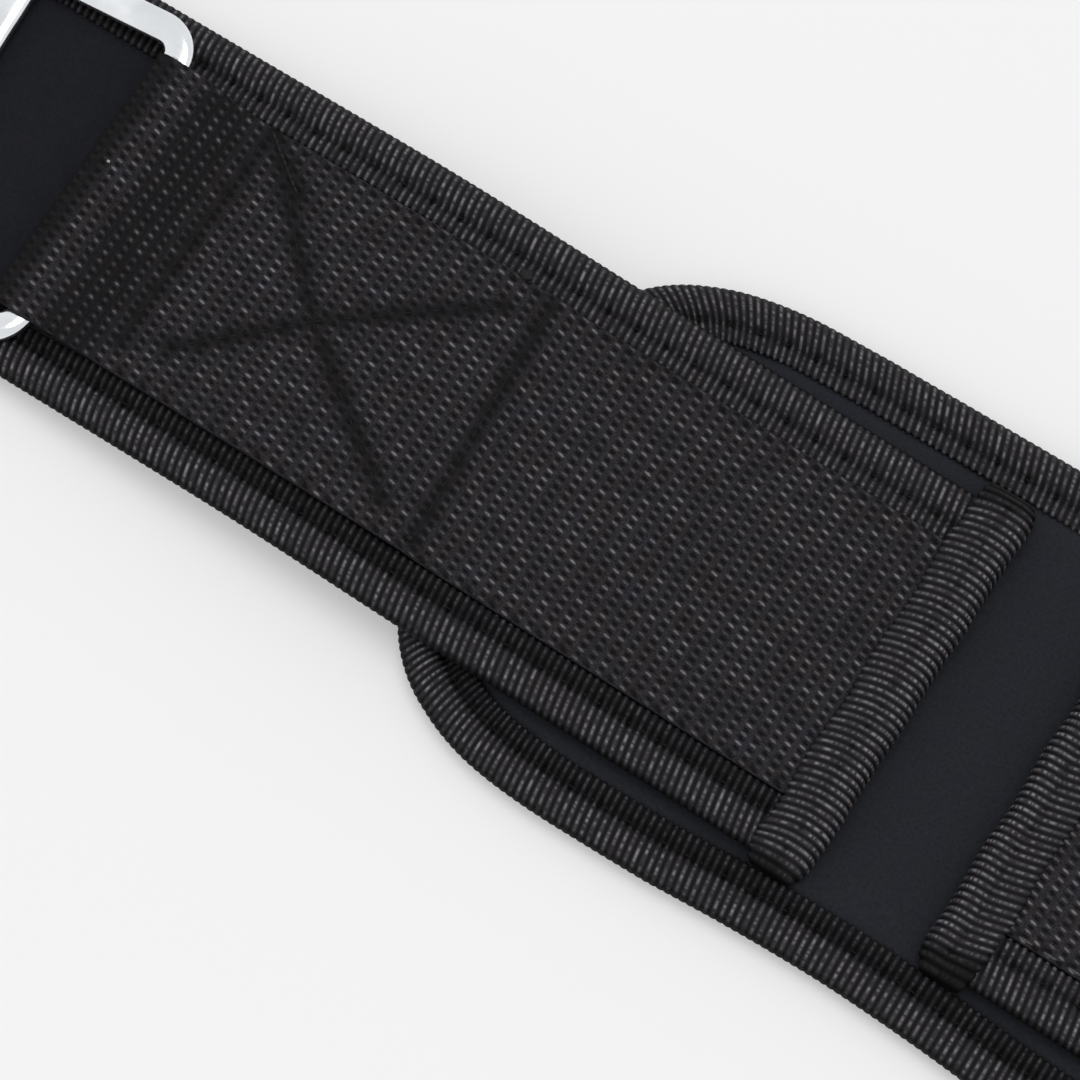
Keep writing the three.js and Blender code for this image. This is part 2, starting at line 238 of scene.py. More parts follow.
def points(piece):
    places = np.empty(len(piece.data.vertices) * 3)
    piece.data.vertices.foreach_get("co", places)
    return places.reshape(-1, 3)


def put_points(piece, places):
    piece.data.vertices.foreach_set("co", places.ravel())
    piece.data.update()


def finish_with(piece, kind, **settings):
    """Adds one modifier and applies it."""
    modifier = piece.modifiers.new(kind.title(), kind)
    for name, value in settings.items():
        setattr(modifier, name, value)
    only(piece)
    bpy.ops.object.modifier_apply(modifier=modifier.name)


def repeat(piece, count, step):
    """Repeats a piece by a fixed step, its neighbours joined."""
    finish_with(
        piece, "ARRAY", count=count, use_relative_offset=False, use_constant_offset=True,
        constant_offset_displace=step, use_merge_vertices=True, merge_threshold=1e-6,
    )


def close_up(piece):
    """Merges doubles, closes the open ends and turns every face outwards."""
    edit(piece)
    bpy.ops.mesh.remove_doubles(threshold=2e-6)
    bpy.ops.mesh.select_all(action="DESELECT")
    bpy.ops.mesh.select_non_manifold()
    bpy.ops.mesh.fill_holes(sides=0)
    bpy.ops.mesh.select_all(action="SELECT")
    bpy.ops.mesh.normals_make_consistent(inside=False)
    done()
    bpy.ops.object.shade_smooth()


def turned_copy(piece, name):
    """The same piece for the other wing, turned half round about the pad's middle."""
    copy = piece.copy()
    copy.data = piece.data.copy()
    copy.name = copy.data.name = name
    bpy.context.scene.collection.objects.link(copy)
    turn_over(copy)
    return copy


def turn_over(piece):
    """Turns a piece of the left wing half round about the pad's middle, on to the right wing."""
    edit(piece)
    bpy.ops.transform.rotate(value=math.pi, orient_axis="Z", center_override=(0, 0, 0))
    done()


def joined(pieces, name):
    """Several finished pieces as one."""
    bpy.ops.object.select_all(action="DESELECT")
    for piece in pieces:
        piece.select_set(True)
    bpy.context.view_layer.objects.active = pieces[0]
    bpy.ops.object.join()
    return added(name)


def note_flat(piece, unit, around=None):
    """Keeps where each point lies on the flat cloth, in weave repeats, as the UV map."""
    places = points(piece)
    around = places[:, 1] if around is None else around
    flat = np.stack([places[:, 0] / unit[0], around / unit[1]], 1)
    corners = np.empty(len(piece.data.loops), int)
    piece.data.loops.foreach_get("vertex_index", corners)
    layer = piece.data.uv_layers.new(name="flat")
    layer.data.foreach_set("uv", flat[corners].ravel())


def note_worn(piece, share):
    """Keeps how brightly each point is painted, painted highlight where high and painted shade where low,
    as an attribute that the tape's material reads.
    """
    piece.data.attributes.new("painted_light", "FLOAT", "POINT").data.foreach_set("value", share)


def smooth(share):
    """0 to 1 with a soft start and end."""
    share = np.clip(share, 0, 1)
    return share * share * (3 - 2 * share)


# lines that the pieces follow


def wing_height(reach):
    """Height of a wing's underside: on the pad, then down to the table."""
    return WING_LIFT * (1 - smooth((reach - WING_LEAVES) / (WING_LANDS - WING_LEAVES)))


def strap_height(reach):
    """Height of the closing strap's underside, from the wing down to the table."""
    return (wing_height(reach) + WEBBING_BASE) * (1 - smooth((reach - WING_REACH) / STRAP_DROP))


def let_down(piece, underside):
    """Lowers a piece from the level bench on to its sloping underside."""
    places = points(piece)
    reach, side = np.abs(places[:, 0]), np.sign(places[:, 0])
    step = 0.0005
    slope = (underside(reach + step) - underside(reach - step)) / (2 * step)
    length = np.hypot(1, slope)
    places[:, 0] = side * (reach - places[:, 2] * slope / length)
    places[:, 2] = underside(reach) + places[:, 2] / length
    put_points(piece, places)


def rounded_quarter(length, half_width, power, steps):
    """Points of a rounded end, from its tip to where its full width begins."""
    angles = np.linspace(0, math.pi / 2, steps)
    out, side = np.cos(angles) ** (2 / power), np.sin(angles) ** (2 / power)
    return np.stack([length * out, half_width * side], 1)


def evenly(line, count, closed=False):
    """The same line with evenly spaced points."""
    if closed:
        line = np.vstack([line, line[:1]])
    far = np.concatenate([[0], np.cumsum(np.linalg.norm(np.diff(line, axis=0), axis=1))])
    at = np.linspace(0, far[-1], count + 1)[: count if closed else count + 1]
    return np.stack([np.interp(at, far, line[:, axis]) for axis in range(line.shape[1])], 1)


def length_of(line, closed=False):
    if closed:
        line = np.vstack([line, line[:1]])
    return float(np.linalg.norm(np.diff(line, axis=0), axis=1).sum())


def pad_edge():
    """The pad's edge, from under the right wing round by the upper edge.

    It is a little fuller before its ends than the frame's, as in the photo."""
    straight = PAD_LENGTH / 2 - PAD_END_LENGTH
    end = rounded_quarter(PAD_END_LENGTH, PAD_WIDTH / 2, PAD_END_POWER, 160)
    middle = np.stack([np.linspace(straight, -straight, 120)[1:-1], np.full(118, PAD_WIDTH / 2)], 1)
    upper = np.vstack([end + (straight, 0), middle, (end * (-1, 1) - (straight, 0))[::-1]])
    bow = PAD_BOW * (1 - smooth(np.abs(upper[:, 0]) / (PAD_BOW_LENGTH / 2)))
    from_middle, fuller_above, fuller_below = zip(*PAD_FULLER)
    lower = upper * (1, -1)
    upper[:, 1] += bow + np.interp(np.abs(upper[:, 0]), from_middle, fuller_above)
    lower[:, 1] += bow - np.interp(np.abs(lower[:, 0]), from_middle, fuller_below)
    return evenly(np.vstack([upper, lower[::-1][1:-1]]), 900, closed=True)


def wing_edge():
    """The left wing's edge on the bench: out along the upper edge, round the tip and back."""
    straight = WING_REACH - WING_END_LENGTH
    end = rounded_quarter(WING_END_LENGTH, WING_WIDTH / 2, WING_END_POWER, 160)
    upper = np.vstack([[-WING_INNER_END, WING_WIDTH / 2], (end * (-1, 1) - (straight, 0))[::-1]])
    line = evenly(np.vstack([upper, upper[::-1][1:] * (1, -1)]), 900)
    line[:, 1] += WING_SWAY * smooth((-line[:, 0] - 0.13) / 0.07)
    return line


def inset_line(line, distance, closed=False):
    """The line moved to its left."""
    if closed:
        ahead, behind = np.roll(line, -1, 0), np.roll(line, 1, 0)
    else:
        ahead, behind = np.vstack([line[1:], line[-1:]]), np.vstack([line[:1], line[:-1]])
    along = ahead - behind
    along /= np.linalg.norm(along, axis=1)[:, None]
    return line + distance * np.stack([-along[:, 1], along[:, 0]], 1)


def guide(name, line, closed):
    """A curve object through the points, for the Curve modifier."""
    curve = bpy.data.curves.new(name, "CURVE")
    curve.dimensions, curve.twist_mode = "3D", "Z_UP"
    spline = curve.splines.new("POLY")
    spline.points.add(len(line) - 1)
    spline.points.foreach_set("co", np.hstack([line, np.zeros((len(line), 4 - line.shape[1]))]).ravel())
    spline.use_cyclic_u = closed
    made = bpy.data.objects.new(name, curve)
    bpy.context.scene.collection.objects.link(made)
    return made


def bend_along(piece, line, closed):
    """Bends a straight piece so that its X runs along the line and its Y to the line's left."""
    rail = guide("rail", line, closed)
    finish_with(piece, "CURVE", object=rail, deform_axis="POS_X")
    bpy.data.objects.remove(rail)


# materials


def node(tree, kind, inputs=(), **settings):
    """Adds a node; an input is given as a value or as the socket that feeds it."""
    made = tree.nodes.new(kind)
    for name, value in settings.items():
        setattr(made, name, value)
    for name, value in dict(inputs).items():
        if isinstance(value, bpy.types.NodeSocket):
            tree.links.new(value, made.inputs[name])
        else:
            made.inputs[name].default_value = value
    return made


def math_node(tree, operation, first, second=0.0):
    return node(tree, "ShaderNodeMath", {0: first, 1: second}, operation=operation).outputs[0]


def new_group(name, inputs, outputs):
    """An empty node group, with its inputs and outputs by name."""
    tree = bpy.data.node_groups.new(name, "ShaderNodeTree")
    for label, kind, value in inputs:
        socket = tree.interface.new_socket(name=label, in_out="INPUT", socket_type=kind)
        if value is not None:
            socket.default_value = value
    for label in outputs:
        tree.interface.new_socket(name=label, in_out="OUTPUT", socket_type="NodeSocketFloat")
    return tree, tree.nodes.new("NodeGroupInput").outputs, tree.nodes.new("NodeGroupOutput").inputs


def ramp(tree, value, low, high):
    """0 below low, 1 above high and smooth between."""
    limits = {"Value": value, "From Min": low, "From Max": high}
    return node(tree, "ShaderNodeMapRange", limits, interpolation_type="SMOOTHSTEP").outputs[0]


def times(tree, first, second):
    return math_node(tree, "MULTIPLY", first, second)


def plus(tree, first, second):
    return math_node(tree, "ADD", first, second)


def scaled_and_moved(tree, value, scale, offset):
    return plus(tree, times(tree, value, scale), offset)


def blended(tree, first, share, second, other_share):
    """The sum of two values, each by its share."""
    one = scaled_and_moved(tree, first, share, 0.0)
    return plus(tree, one, scaled_and_moved(tree, second, other_share, 0.0))


def squared_part(tree, value, whole):
    part = math_node(tree, "DIVIDE", math_node(tree, "ABSOLUTE", value), whole)
    return math_node(tree, "POWER", part, 2.0)


def tone_group():
    """Uneven dye and lint: a slow tone from 0 to 1, a fine grain, and a mask of pale specks."""
    tree, given, out = new_group(
        "cloth_tone",
        [("Vector", "NodeSocketVector", None), ("Slow Scale", "NodeSocketFloat", 40.0),
         ("Fine Scale", "NodeSocketFloat", 1500.0), ("Lint Amount", "NodeSocketFloat", 0.02)],
        ["Tone", "Grain", "Lint"],
    )
    where = given["Vector"]
    slow = node(tree, "ShaderNodeTexNoise", {"Vector": where, "Scale": given["Slow Scale"], "Detail": 4.0})
    fine = node(tree, "ShaderNodeTexNoise", {"Vector": where, "Scale": given["Fine Scale"], "Detail": 2.0})
    specks = node(tree, "ShaderNodeTexVoronoi", {"Vector": where, "Scale": 420.0, "Randomness": 1.0})
    chosen = node(tree, "ShaderNodeSeparateColor", {"Color": specks.outputs["Color"]})
    near = math_node(tree, "LESS_THAN", specks.outputs["Distance"], 0.09)
    rare = math_node(tree, "LESS_THAN", chosen.outputs["Red"], given["Lint Amount"])
    tree.links.new(ramp(tree, slow.outputs["Fac"], 0.3, 0.7), out["Tone"])
    tree.links.new(fine.outputs["Fac"], out["Grain"])
    tree.links.new(times(tree, near, rare), out["Lint"])
    return tree


def rib_group():
    """Ribs counted along X of the flat tape: a mask of their crests, and where they shine, for painted
    shade in the grooves and painted highlight streaks.
    """
    tree, given, out = new_group(
        "tape_ribs",
        [("Vector", "NodeSocketVector", None), ("Dashes", "NodeSocketFloat", 1.0)],
        ["Crest", "Shine"],
    )
    flat = node(tree, "ShaderNodeSeparateXYZ", {"Vector": given["Vector"]}).outputs
    share = math_node(tree, "FRACT", flat["X"])
    wave = math_node(tree, "SINE", times(tree, share, math.pi))
    rib = math_node(tree, "FLOOR", flat["X"])
    chance = node(tree, "ShaderNodeTexWhiteNoise", {"W": rib}, noise_dimensions="1D").outputs["Value"]
    place = node(tree, "ShaderNodeCombineXYZ", {
        "X": times(tree, rib, 3.7), "Y": times(tree, flat["Y"], given["Dashes"])})
    streak = node(tree, "ShaderNodeTexNoise", {"Vector": place.outputs[0], "Scale": 1.0, "Detail": 1.5})
    dash = ramp(tree, streak.outputs["Fac"], 0.38, 0.70)
    dash = times(tree, dash, scaled_and_moved(tree, chance, 0.6, 0.6))
    tree.links.new(ramp(tree, wave, 0.25, 0.95), out["Crest"])
    tree.links.new(times(tree, dash, ramp(tree, wave, 0.74, 1.0)), out["Shine"])
    return tree


def blot(tree, from_x, from_y, half_length, half_width):
    """1 in the middle of an oval, fading to 0 at its edge."""
    out = plus(tree, squared_part(tree, from_x, half_length), squared_part(tree, from_y, half_width))
    return math_node(tree, "SUBTRACT", 1.0, ramp(tree, out, 0.0, 1.0))


def weave_group():
    """Yarn floats laid like bricks on the flat webbing.

    Puts out their domes, the gaps between them, their glints and each float's own chance, for painted shade
    and painted highlight."""
    tree, given, out = new_group(
        "webbing_floats", [("Vector", "NodeSocketVector", None)], ["Dome", "Gap", "Shine", "Chance"])
    flat = node(tree, "ShaderNodeSeparateXYZ", {"Vector": given["Vector"]}).outputs
    along = times(tree, flat["X"], 2.0)
    column = math_node(tree, "FLOOR", along)
    share = math_node(tree, "FRACT", along)
    from_x = math_node(tree, "SUBTRACT", share, 0.5)
    moved = scaled_and_moved(tree, flat["Y"], 1.0, 0.25)
    across = plus(tree, times(tree, column, 0.5), moved)
    across = plus(tree, across, times(tree, from_x, FLOAT_SLANT))
    from_y = math_node(tree, "SUBTRACT", math_node(tree, "FRACT", across), 0.5)
    window = math_node(tree, "POWER", math_node(tree, "SINE", times(tree, share, math.pi)), 2.0)
    wave = math_node(tree, "COSINE", times(tree, from_y, 2 * math.pi))
    yarn = node(tree, "ShaderNodeCombineXYZ", {"X": column, "Y": math_node(tree, "FLOOR", across)})
    chance = node(tree, "ShaderNodeTexWhiteNoise", {"Vector": yarn.outputs[0]}).outputs["Value"]
    core = blot(tree, from_x, from_y, GLINT_HALF_LENGTH, GLINT_HALF_WIDTH)
    half_on = math_node(tree, "FRACT", plus(tree, across, 0.5))
    gap = blot(tree, from_x, math_node(tree, "SUBTRACT", half_on, 0.5), GAP_HALF_LENGTH, GAP_HALF_WIDTH)
    bright = scaled_and_moved(tree, math_node(tree, "POWER", chance, 2.0), 0.72, 0.16)
    tree.links.new(scaled_and_moved(tree, times(tree, window, wave), 0.5, 0.5), out["Dome"])
    tree.links.new(times(tree, core, bright), out["Shine"])
    tree.links.new(gap, out["Gap"])
    tree.links.new(chance, out["Chance"])
    return tree


def new_material(name, specular, sheen=0.0):
    material = bpy.data.materials.new(name)
    material.use_nodes = True
    tree = material.node_tree
    tree.nodes.clear()
    shader = node(tree, "ShaderNodeBsdfPrincipled")
    shader.inputs["Specular IOR Level"].default_value = specular
    shader.inputs["Sheen Weight"].default_value = sheen
    shader.inputs["Sheen Roughness"].default_value = 0.5
    tree.links.new(shader.outputs[0], node(tree, "ShaderNodeOutputMaterial").inputs["Surface"])
    return material, tree, shader


def between(tree, share, low, high):
    """A colour between two, by a share; each colour is a value or a socket."""
    mix = node(tree, "ShaderNodeMix", {"Factor": share}, data_type="RGBA")
    for socket, colour in ((mix.inputs[6], low), (mix.inputs[7], high)):
        if isinstance(colour, bpy.types.NodeSocket):
            tree.links.new(colour, socket)
        else:
            socket.default_value = (*colour, 1)
    return mix.outputs[2]


def placed(tree, group, inputs):
    return node(tree, "ShaderNodeGroup", inputs, node_tree=group).outputs


def toned(tree, tone, slow, fine, lint):
    """The cloth tone on Object coordinates, at the material's own scales."""
    where = node(tree, "ShaderNodeTexCoord").outputs["Object"]
    scales = {"Slow Scale": slow, "Fine Scale": fine, "Lint Amount": lint}
    return placed(tree, tone, {"Vector": where, **scales})


def roughen(tree, shader, share, low, high):
    mapped = node(tree, "ShaderNodeMapRange", {"Value": share, "To Min": low, "To Max": high})
    tree.links.new(mapped.outputs[0], shader.inputs["Roughness"])


def emboss(tree, shader, height, distance, strength=1.0):
    bump = node(tree, "ShaderNodeBump", {"Height": height, "Strength": strength, "Distance": distance})
    tree.links.new(bump.outputs[0], shader.inputs["Normal"])


def cover_material(name, tone, dark, light):
    """Smooth knit cover: matt blue-black with a slow, cloudy tone and a very fine grain."""
    material, tree, shader = new_material(name, specular=0.10, sheen=0.06)
    cloth = toned(tree, tone, slow=130.0, fine=1100.0, lint=0.002)
    mixed = blended(tree, cloth["Tone"], 0.16, cloth["Grain"], 0.84)
    colour = between(tree, mixed, dark, light)
    colour = between(tree, cloth["Lint"], colour, (0.05, 0.052, 0.058))
    tree.links.new(colour, shader.inputs["Base Color"])
    roughen(tree, shader, cloth["Tone"], 0.75, 0.95)
    emboss(tree, shader, cloth["Grain"], 0.0003, 0.35)
    return material


def tape_material(tone, ribs, dashes):
    """Ribbed tape: painted shade between the ribs, and painted highlight as grey streaks along their
    crests.
    """
    material, tree, shader = new_material("ribbed_tape", specular=0.07)
    flat = node(tree, "ShaderNodeUVMap", uv_map="flat").outputs[0]
    cloth = toned(tree, tone, slow=140.0, fine=1500.0, lint=0.004)
    rib = placed(tree, ribs, {"Vector": flat, "Dashes": dashes})
    painted_light = node(tree, "ShaderNodeAttribute", attribute_name="painted_light").outputs["Fac"]
    # painted shade: the grooves between the ribs are darkened, and the tape's painted light attribute
    # darkens or lightens the crests
    crest = times(tree, rib["Crest"], scaled_and_moved(tree, painted_light, 0.85, 0.15))
    crest = times(tree, crest, scaled_and_moved(tree, cloth["Grain"], 1.6, 0.2))
    gap = between(tree, ramp(tree, painted_light, 0.1, 0.6), (0.0010, 0.0010, 0.0012), (0.0085, 0.0079, 0.0096))
    yarn = between(tree, cloth["Tone"], (0.0290, 0.0285, 0.0345), (0.0330, 0.0290, 0.0300))
    colour = between(tree, crest, gap, yarn)
    # painted highlight: pale grey streaks along the crests
    shine = times(tree, rib["Shine"], painted_light)
    colour = between(tree, shine, colour, (0.175, 0.169, 0.179))
    colour = between(tree, cloth["Lint"], colour, (0.14, 0.14, 0.14))
    tree.links.new(colour, shader.inputs["Base Color"])
    roughen(tree, shader, rib["Shine"], 0.62, 0.42)
    height = blended(tree, cloth["Grain"], 0.35, rib["Shine"], 0.4)
    emboss(tree, shader, height, 0.0003, 0.6)
    return material


def webbing_material(tone, floats):
    """Coarse nylon webbing: dark yarn, painted shade in the gaps and pits between the floats, and a small
    painted highlight glint on each float.
    """
    material, tree, shader = new_material("woven_webbing", specular=0.08)
    flat = node(tree, "ShaderNodeUVMap", uv_map="flat").outputs[0]
    cloth = toned(tree, tone, slow=160.0, fine=1900.0, lint=0.003)
    weave = placed(tree, floats, {"Vector": flat})
    pressed_and_shade = node(tree, "ShaderNodeAttribute", attribute_name="pressed_and_shade").outputs["Fac"]
    free = math_node(tree, "SUBTRACT", 1.0, pressed_and_shade)
    fibres = scaled_and_moved(tree, cloth["Grain"], 3.4, -0.75)
    # painted shade: darker in the pits between the floats' domes and in the gaps beside them
    body = times(tree, ramp(tree, weave["Dome"], -0.55, 1.0), fibres)
    body = times(tree, body, math_node(tree, "SUBTRACT", 1.0, weave["Gap"]))
    body = times(tree, body, scaled_and_moved(tree, weave["Chance"], 0.5, 0.75))
    yarn = between(tree, cloth["Tone"], (0.0222, 0.0218, 0.0272), (0.0265, 0.0220, 0.0232))
    colour = between(tree, body, (0.0022, 0.0020, 0.0026), yarn)
    # painted highlight: a glint on each float, none where the seams sink the weave
    shine = times(tree, weave["Shine"], scaled_and_moved(tree, cloth["Grain"], 1.6, 0.2))
    shine = times(tree, shine, free)
    colour = between(tree, shine, colour, (0.165, 0.158, 0.168))
    # painted shade along the seams, the crease and the needle holes, on the fold's nose and on the slope up
    # to the ring
    colour = between(tree, times(tree, pressed_and_shade, 0.85), colour, (0.0022, 0.0020, 0.0023))
    colour = between(tree, cloth["Lint"], colour, (0.13, 0.12, 0.12))
    tree.links.new(colour, shader.inputs["Base Color"])
    roughen(tree, shader, weave["Shine"], 0.62, 0.40)
    height = plus(tree, weave["Dome"], scaled_and_moved(tree, cloth["Grain"], 0.25, 0.0))
    emboss(tree, shader, height, 0.0005, 0.7)
    return material


def thread_material(name, tone, dark, light):
    """Twisted sewing thread."""
    material, tree, shader = new_material(name, specular=0.2)
    cloth = toned(tree, tone, slow=300.0, fine=2600.0, lint=0.0)
    tree.links.new(between(tree, cloth["Grain"], dark, light), shader.inputs["Base Color"])
    roughen(tree, shader, cloth["Tone"], 0.45, 0.7)
    emboss(tree, shader, cloth["Grain"], 0.0002, 0.6)
    return material


def pile_material(tone):
    """Fastening pile: matt black fuzz, paler where it has been rubbed."""
    material, tree, shader = new_material("fastening_pile", specular=0.08, sheen=0.1)
    cloth = toned(tree, tone, slow=90.0, fine=1700.0, lint=0.02)
    mixed = blended(tree, cloth["Tone"], 0.4, cloth["Grain"], 0.6)
    colour = between(tree, mixed, (0.0030, 0.0030, 0.0033), (0.0190, 0.0190, 0.0200))
    colour = between(tree, cloth["Lint"], colour, (0.07, 0.07, 0.072))
    tree.links.new(colour, shader.inputs["Base Color"])
    roughen(tree, shader, cloth["Tone"], 0.8, 0.97)
    emboss(tree, shader, cloth["Grain"], 0.0006, 0.8)
    return material


def metal_material(tone):
    """Bright plate with faint polishing marks."""
    material, tree, shader = new_material("ring_plate", specular=0.5)
    marks = toned(tree, tone, slow=90.0, fine=700.0, lint=0.0)
    colour = between(tree, marks["Tone"], (0.80, 0.83, 0.86), (0.92, 0.94, 0.96))
    tree.links.new(colour, shader.inputs["Base Color"])
    shader.inputs["Metallic"].default_value = 1.0
    roughen(tree, shader, marks["Tone"], 0.08, 0.20)
    emboss(tree, shader, marks["Grain"], 0.0002, 0.04)
    return material


def dress(piece, material):
    piece.data.materials.clear()
    piece.data.materials.append(material)


# bindings


def ribbed_strip(name, section, pitch):
    """One rib pushed along X from its closed section."""
    bpy.ops.object.select_all(action="DESELECT")
    bpy.ops.mesh.primitive_circle_add(vertices=len(section))
    rib = added(name)
    put_points(rib, np.array([(0, *point) for point in section]))
    edit(rib)
    shares = [share for share, height in RIB_PROFILE] + [1.0]
    for here, there in zip(shares, shares[1:]):
        bpy.ops.mesh.extrude_region_move(TRANSFORM_OT_translate={"value": ((there - here) * pitch, 0, 0)})
    done()
    return rib


def raise_ribs(rib, section, depths, pitch):
    """Moves each ring of points out or in, so that the rib is round with a groove on each side.

    depths gives how strongly the rib shows at each point of the section."""
    outline = np.array(section)
    along = np.roll(outline, -1, 0) - np.roll(outline, 1, 0)
    along /= np.linalg.norm(along, axis=1)[:, None]
    outwards = np.stack([along[:, 1], -along[:, 0]], 1)
    if ((outline - outline.mean(0)) * outwards).sum() < 0:
        outwards = -outwards
    places = points(rib)
    nearest = np.linalg.norm(places[:, None, 1:] - outline[None], axis=2).argmin(1)
    shares = np.array([share for share, height in RIB_PROFILE] + [1.0])
    heights = np.array([height for share, height in RIB_PROFILE] + [RIB_PROFILE[0][1]])
    station = np.abs(places[:, :1] / pitch - shares).argmin(1)
    lift = np.array(depths)[nearest] * heights[station]
    places[:, 1:] += outwards[nearest] * lift[:, None]
    put_points(rib, places)


def holes_along(far, length, pitch, width):
    """1 at each needle hole of a seam and 0 between them; far is the way along the seam."""
    step = length / round(length / pitch)
    off = (far / step + 0.5) % 1 - 0.5
    return np.exp(-((off * step / width) ** 2))


def binding(name, line, closed, thickness, lean, shaded):
    """Ribbed tape folded round a foam edge, with a sunken stitch line."""
    length = length_of(line, closed)
    count = round(length / RIB_PITCH)
    pitch = length / count
    section = [(inward, share * thickness) for inward, share in BINDING_OUTSIDE + BINDING_INSIDE]
    strip = ribbed_strip(name, section, pitch)
    depths = [min(1, 0.35 + inward / 0.006) for inward, share in BINDING_OUTSIDE]
    raise_ribs(strip, section, depths + [0] * len(BINDING_INSIDE), pitch)
    repeat(strip, count, (pitch, 0, 0))
    places = points(strip)
    inward, upper = places[:, 1].copy(), places[:, 2] > thickness / 2
    note_flat(strip, (pitch, pitch), around=np.where(upper, -inward, inward))
    hole = holes_along(places[:, 0], length, DIMPLE_PITCH, 0.0011)
    hole *= upper * np.exp(-(((inward - STITCH_INSET) / 0.0010) ** 2))
    places[:, 2] -= 0.0008 * hole
    # painted shade: the flange past the stitch line is darkened on the lower edge, and beside the ring
    # where the ring shades it
    way = places[:, 0] / length
    flange_shade = shaded(way) * smooth((inward - 0.0080) / 0.0020)
    # painted highlight and painted shade from the table above on the tape's top face, an even middle value
    # beneath, and painted shade in the needle dimples
    painted_light = np.where(upper, np.interp(inward, *zip(*BINDING_PAINTED_LIGHT)), 0.3)
    note_worn(strip, painted_light * (1 - 0.9 * hole) * (1 - 0.7 * flange_shade))
    # the ribs lie askew, most outside the stitch line, and the lean goes on round the edge
    around = STITCH_INSET - inward
    around = np.where(upper, np.where(around < 0, 0.5 * around, around), STITCH_INSET + thickness * 0.8)
    places[:, 0] += lean(places[:, 0] / length) * np.minimum(around, STITCH_INSET)
    put_points(strip, places)
    bend_along(strip, line, closed)
    close_up(strip)
    return strip


def pad_lean(share):
    """Lean of the ribs round the pad, by the share of the way round from under the right wing."""
    return np.interp(share, *zip(*PAD_LEAN))


def wing_lean(share):
    """Lean of the ribs round a wing, the same all the way."""
    return np.full(len(share), WING_LEAN)


def pad_shade(share):
    """How much painted shade darkens the binding's inner flange, by the share of the way round."""
    return smooth((share - 0.42) / 0.12) - smooth((share - 0.90) / 0.08)


def wing_shade(share):
    """The same for a wing's binding."""
    return smooth((share - 0.325) / 0.02)


# end tapes


def end_tape(name, upper, lower):
    """Ribbed tape rolled over the left wing's inner end; upper and lower say how far it reaches."""
    full = upper + lower
    count = round(full / RIB_PITCH)
    pitch = full / count
    section = [(TAPE_NOSE + out, share * TAPE_HEIGHT) for out, share in TAPE_OUTSIDE + TAPE_INSIDE]
    strip = ribbed_strip(name, section, pitch)
    raise_ribs(strip, section, [1] * len(TAPE_OUTSIDE) + [0] * len(TAPE_INSIDE), pitch)
    repeat(strip, count, (pitch, 0, 0))
    places = points(strip)
    note_flat(strip, (pitch, pitch), around=places[:, 1] + places[:, 2])
    out = places[:, 1] - TAPE_NOSE
    across = places[:, 0] - lower
    top = places[:, 2] > 0.005
    hole = holes_along(places[:, 0], full, 0.0062, 0.0009) * top
    hole *= np.exp(-(((out - TAPE_STITCH) / 0.0008) ** 2))
    # past the stitch line the ribs slant in an arch
    past = np.clip((out - TAPE_STITCH) / (TAPE_WIDTH - TAPE_STITCH), 0, 1)
    past_end = np.where(across > 0, across - upper, -across - lower) + TAPE_ROUNDING
    rounding = np.clip(past_end / TAPE_ROUNDING, 0, 1)
    # painted shade: the ribs darken towards the tape's ends, where it droops to the pad, and in the needle
    # holes
    fading = smooth((past_end + np.where(across > 0, 0.0035, 0)) / 0.0085)
    note_worn(strip, np.interp(out, *zip(*TAPE_PAINTED_LIGHT)) * (1 - 0.6 * hole) * (1 - 0.9 * fading))
    slanted = across - top * 0.0022 * past**1.4 * (1 - rounding)
    drape = np.sqrt(1 - 0.995 * rounding**2)
    out = 0.009 + (out - 0.009) * (1 - 0.30 * rounding**3)
    slack = 0.0004 * np.sin(across * 210) * top
    height = (places[:, 2] - 0.0005 * hole) * drape
    put_points(strip, np.stack([-TAPE_NOSE - out - slack, slanted, height], 1))
    close_up(strip)
    return strip


# webbing


def weave_height(along, across):
    """Height of the yarn floats, which lie like bricks; both places are in weave repeats."""
    column = np.floor(2 * along)
    from_x = 2 * along - column - 0.5
    from_y = across + 0.25 + 0.5 * column + FLOAT_SLANT * from_x - 0.5
    return WEAVE_RELIEF * (0.5 + 0.5 * np.cos(math.pi * from_x) ** 2 * np.cos(2 * math.pi * from_y))


def woven_sheet(name, start, repeats, along, cells):
    """One weave repeat shaped from a grid, and repeated both ways."""
    bpy.ops.object.select_all(action="DESELECT")
    bpy.ops.mesh.primitive_grid_add(x_subdivisions=cells[0], y_subdivisions=cells[1], size=1)
    sheet = added(name)
    share = points(sheet)[:, :2] + 0.5
    height = weave_height(share[:, 0], share[:, 1])
    put_points(sheet, np.stack([share[:, 0] * along, share[:, 1] * WEAVE_ACROSS, height], 1))
    repeat(sheet, WEAVE_ROWS, (0, WEAVE_ACROSS, 0))
    repeat(sheet, repeats, (along, 0, 0))
    put_points(sheet, points(sheet) + (start, -WEBBING_WIDTH / 2, 0))
    return sheet


def press(sheet, share):
    """Flattens and sinks the weave where a seam holds it down, and keeps that as an attribute, which the
    webbing's material also paints as shade.
    """
    places = points(sheet)
    places[:, 2] = WEBBING_THICKNESS / 2 - WEAVE_RELIEF + places[:, 2] * (1 - 0.75 * share) - 0.0004 * share
    edge = np.clip((np.abs(places[:, 1]) - 0.0366) / 0.0017, 0, 1)
    places[:, 2] -= 0.0004 * edge**2
    put_points(sheet, places)
    sheet.data.attributes.new("pressed_and_shade", "FLOAT", "POINT").data.foreach_set("value", share)


